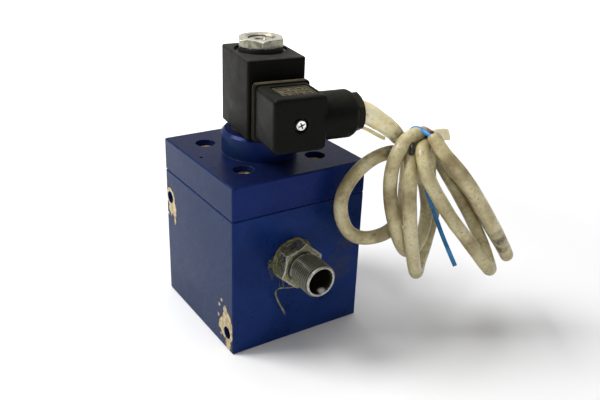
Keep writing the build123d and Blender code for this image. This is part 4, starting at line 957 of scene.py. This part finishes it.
# ------------------------------------------------------------------ plug housing
h, y1, y2 = 0.01391, 0.1129, 0.1404
rows = [(0.0292, -h + 0.0004, h - 0.0004, y1 + 0.0004, y2 - 0.0004, 0.0022), (0.0296, -h, h, y1, y2, 0.0026), (0.0400, -h, h, y1, y2, 0.0028), (0.0500, -h, h, y1, y2, 0.0030)]
R = 0.0019
for s in range(1, 9):
    a = pi / 2 * s / 8
    o = R * (1 - cos(a))
    rows.append((0.0525 - R + R * sin(a), -h + o, h - o, y1 + o, y2 - o, 0.0031 - o * 0.35))
v, f = rounded_rows(rows, 10)
plug = loose("plug_shell", v, f, FACE)
o1 = 0.01391
outlet_rows = [(0.0108, 0.0105), (0.0118, 0.0120), (0.0120, 0.0150), (0.0120, 0.0287), (0.01185, 0.0293), (0.0112, 0.0306), (0.0107, 0.0313), (0.0102, 0.0315)]
v, f = turned(outlet_rows, angles(96), closed=False)
spout = loose("spout", v, f, SIDE)
cut(plug, [spout], "UNION")
v, f = turned([(0.0039, 0.0501), (0.0039, 0.0522), (0.0043, 0.0530)], angles(48), closed=False)
well = loose("well", v, f, axes(AXIS + Z * 0.12665, U, -V))
v, f = rounded_rows([(0.13960, -0.0082, 0.0112, -0.0480, -0.0326, 0.0010), (0.1400, -0.0083, 0.0113, -0.0481, -0.0325, 0.0012), (0.1415, -0.0084, 0.0114, -0.0482, -0.0324, 0.0013)], 5)
tray = loose("tray", v, f, COIL)
v, f = turned([(0.0081, 0.0290), (0.0081, 0.0330)], angles(64), closed=False)
mouth = loose("mouth", v, f, SIDE)
cut(plug, [well, tray, mouth])
dress(plug, M["conn"], ("connector_housing",), 30)
# the recessed panel's own dusty floor: a thin plate with moulded ribs, no lettering
pv, pf = [], []
nx, ny = 150, 110
x1_, x2_, y1_, y2_ = -0.0080, 0.0110, -0.0478, -0.0328
for j in range(ny + 1):
    for i in range(nx + 1):
        x = x1_ + (x2_ - x1_) * i / nx
        y = y1_ + (y2_ - y1_) * j / ny
        edge = min(x - x1_, x2_ - x, y - y1_, y2_ - y)
        rim = 0.00045 if 0.0007 < edge < 0.0013 else 0.0
        bumps = 0.0
        if edge > 0.0020:
            # two rows of worn moulded ribs, each a different width
            row = (y - y1_ - 0.0020) / 0.0038
            band = abs(row % 1.0 - 0.5) < 0.30
            bumps = 0.00040 if band and sin(x * 2600 + 1.7 * sin(x * 900 + int(row) * 2.1)) > 0.15 else 0.0
        pv.append(COIL @ Vector((x, y, 0.13968 + rim + bumps)))
for j in range(ny):
    for i in range(nx):
        a = j * (nx + 1) + i
        pf.append((a, a + 1, a + nx + 2, a + nx + 1))
panel = piece("plug_panel", pv, pf, M["panel"], (), None, 60)

# ------------------------------------------------------------------ gland nut
gt = radians(30.0)
gr = hexagon(0.018, gt)
e0, e1 = 0.0316, 0.0357


def glandrow(z):
    def r(t):
        lim = min(0.0105, 0.0101 + (z - e0) * 1.6, 0.0090 + (e1 - z) * 1.3)
        return min(gr(t), lim)
    return r


rows = [(0.0043, e1 - 0.0008), (0.0043, 0.0305), (0.0080, 0.0305), (0.0080, e0 - 0.0001), (0.0100, e0 - 0.0001)]
for z in (e0, e0 + 0.0002, e0 + 0.0004, 0.0330, 0.0342, 0.0346, 0.0349, 0.0352, 0.0354, 0.0356):
    rows.append((glandrow(z), z))
rows += [(0.0088, e1), (0.0052, e1), (0.0047, e1 - 0.0002)]
v, f = turned(rows, angles(240, corners(gt)))
gland = piece("gland_cap", v, f, M["gland"], ("gland_nut",), SIDE, 28)

# ------------------------------------------------------------------ screw heads: the CAD's own pieces; the dark in the cross slot is painted shade in the cross_recess_screw material
# faded cream strip that lies behind the jacket's end
bv, bf = [], []
for i in range(15):
    t = i / 14
    mid = Vector((0.0655, -0.0600, 0.1110)) + Vector((0.0160, 0.0030, -0.0020)) * t + Vector((0, 0, 0.0008)) * sin(pi * t)
    for j in range(7):
        w = j / 6 - 0.5
        bv.append(mid + Vector((0.0018, -0.0012, -0.0072)) * w * (1 - 0.15 * t) + Vector((0, -0.0006, 0)) * cos(pi * w))
for i in range(14):
    for j in range(6):
        a = i * 7 + j
        bf.append((a, a + 1, a + 8, a + 7))
scrap = piece("tape_scrap", bv, bf, M["tape"], (), None, 60)
so = scrap.modifiers.new("thickness", "SOLIDIFY")
so.thickness, so.offset = 0.0002, 0

# ------------------------------------------------------------------ floor, light, camera
fm = Mat("floor_white", spec=0.2)
floor_colour = fm.mix(fm.noise(3, 2, 0.5), (0.90, 0.90, 0.905), (0.93, 0.93, 0.93))
# painted light: the floor glows, more with distance from the object, so the backdrop reads white while the shadow near
# the object stays
far = fm.near((0.03, -0.02, 0.0), 0.42, 0.24)
fm.b.inputs["Emission Color"].default_value = (1, 1, 1, 1)
fm.put(fm.b.inputs["Emission Strength"], fm.math("MULTIPLY", fm.math("SUBTRACT", 1.0, far), 1.1))
floor_mat = fm.done(floor_colour, 0.85)
me = bpy.data.meshes.new("floor")
me.from_pydata([(-3, -3, 0), (3, -3, 0), (3, 3, 0), (-3, 3, 0)], [], [(0, 1, 2, 3)])
me.materials.append(floor_mat)
floor = bpy.data.objects.new("floor", me)
bpy.context.scene.collection.objects.link(floor)


def area(name, at, to, size, power, colour=(1, 1, 1)):
    li = bpy.data.lights.new(name, "AREA")
    li.shape, li.size, li.energy, li.color = "SQUARE", size, power, colour
    ob = bpy.data.objects.new(name, li)
    ob.location = at
    ob.rotation_mode = "QUATERNION"
    ob.rotation_quaternion = (Vector(to) - Vector(at)).to_track_quat("-Z", "Y")
    bpy.context.scene.collection.objects.link(ob)
    return ob


area("key", (-0.62, 0.42, 1.00), (0, 0, 0.07), 0.50, 13.0)
area("top", (0.05, 0.10, 1.10), (0, 0, 0.05), 0.6, 3.2)
area("front", (-0.45, -0.95, 0.95), (0.06, -0.05, 0.08), 0.22, 1.6)
world = bpy.data.worlds.new("studio")
world.use_nodes = True
bg = world.node_tree.nodes["Background"]
bg.inputs[0].default_value = (1, 1, 1, 1)
bg.inputs[1].default_value = 0.26
# the white wall behind the table: brighter low down and towards the back
wt = world.node_tree
wc = wt.nodes.new("ShaderNodeTexCoord")
wd = wt.nodes.new("ShaderNodeVectorMath")
wd.operation = "DOT_PRODUCT"
wt.links.new(wc.outputs["Generated"], wd.inputs[0])
wd.inputs[1].default_value = (0.50, 0.80, 0.33)
wr = wt.nodes.new("ShaderNodeMapRange")
wt.links.new(wd.outputs["Value"], wr.inputs[0])
wr.inputs[1].default_value, wr.inputs[2].default_value = 0.45, 0.95
wr.inputs[3].default_value, wr.inputs[4].default_value = 0.24, 0.66
wt.links.new(wr.outputs[0], bg.inputs[1])
bpy.context.scene.world = world
bpy.context.scene.view_settings.view_transform = "Standard"
bpy.context.scene.view_settings.look = "None"
bpy.context.scene.view_settings.exposure = 0.0

az, el, roll = radians(-33.602), radians(24.639), radians(2.154)
back = Vector((sin(az) * cos(el), -cos(az) * cos(el), sin(el)))
right = Z.cross(back).normalized()
upv = back.cross(right)
r1 = right * cos(roll) + upv * sin(roll)
r2 = upv * cos(roll) - right * sin(roll)
cam_data = bpy.data.cameras.new("camera")
cam_data.lens = 44.770
cam_data.sensor_width = 36.0
cam_data.clip_start, cam_data.clip_end = 0.01, 20
cam = bpy.data.objects.new("camera", cam_data)
m = Matrix((r1, r2, back)).transposed().to_4x4()
m.translation = Vector((-0.192508, -0.328142, 0.240519))
cam.matrix_world = m
bpy.context.scene.collection.objects.link(cam)
bpy.context.scene.camera = cam
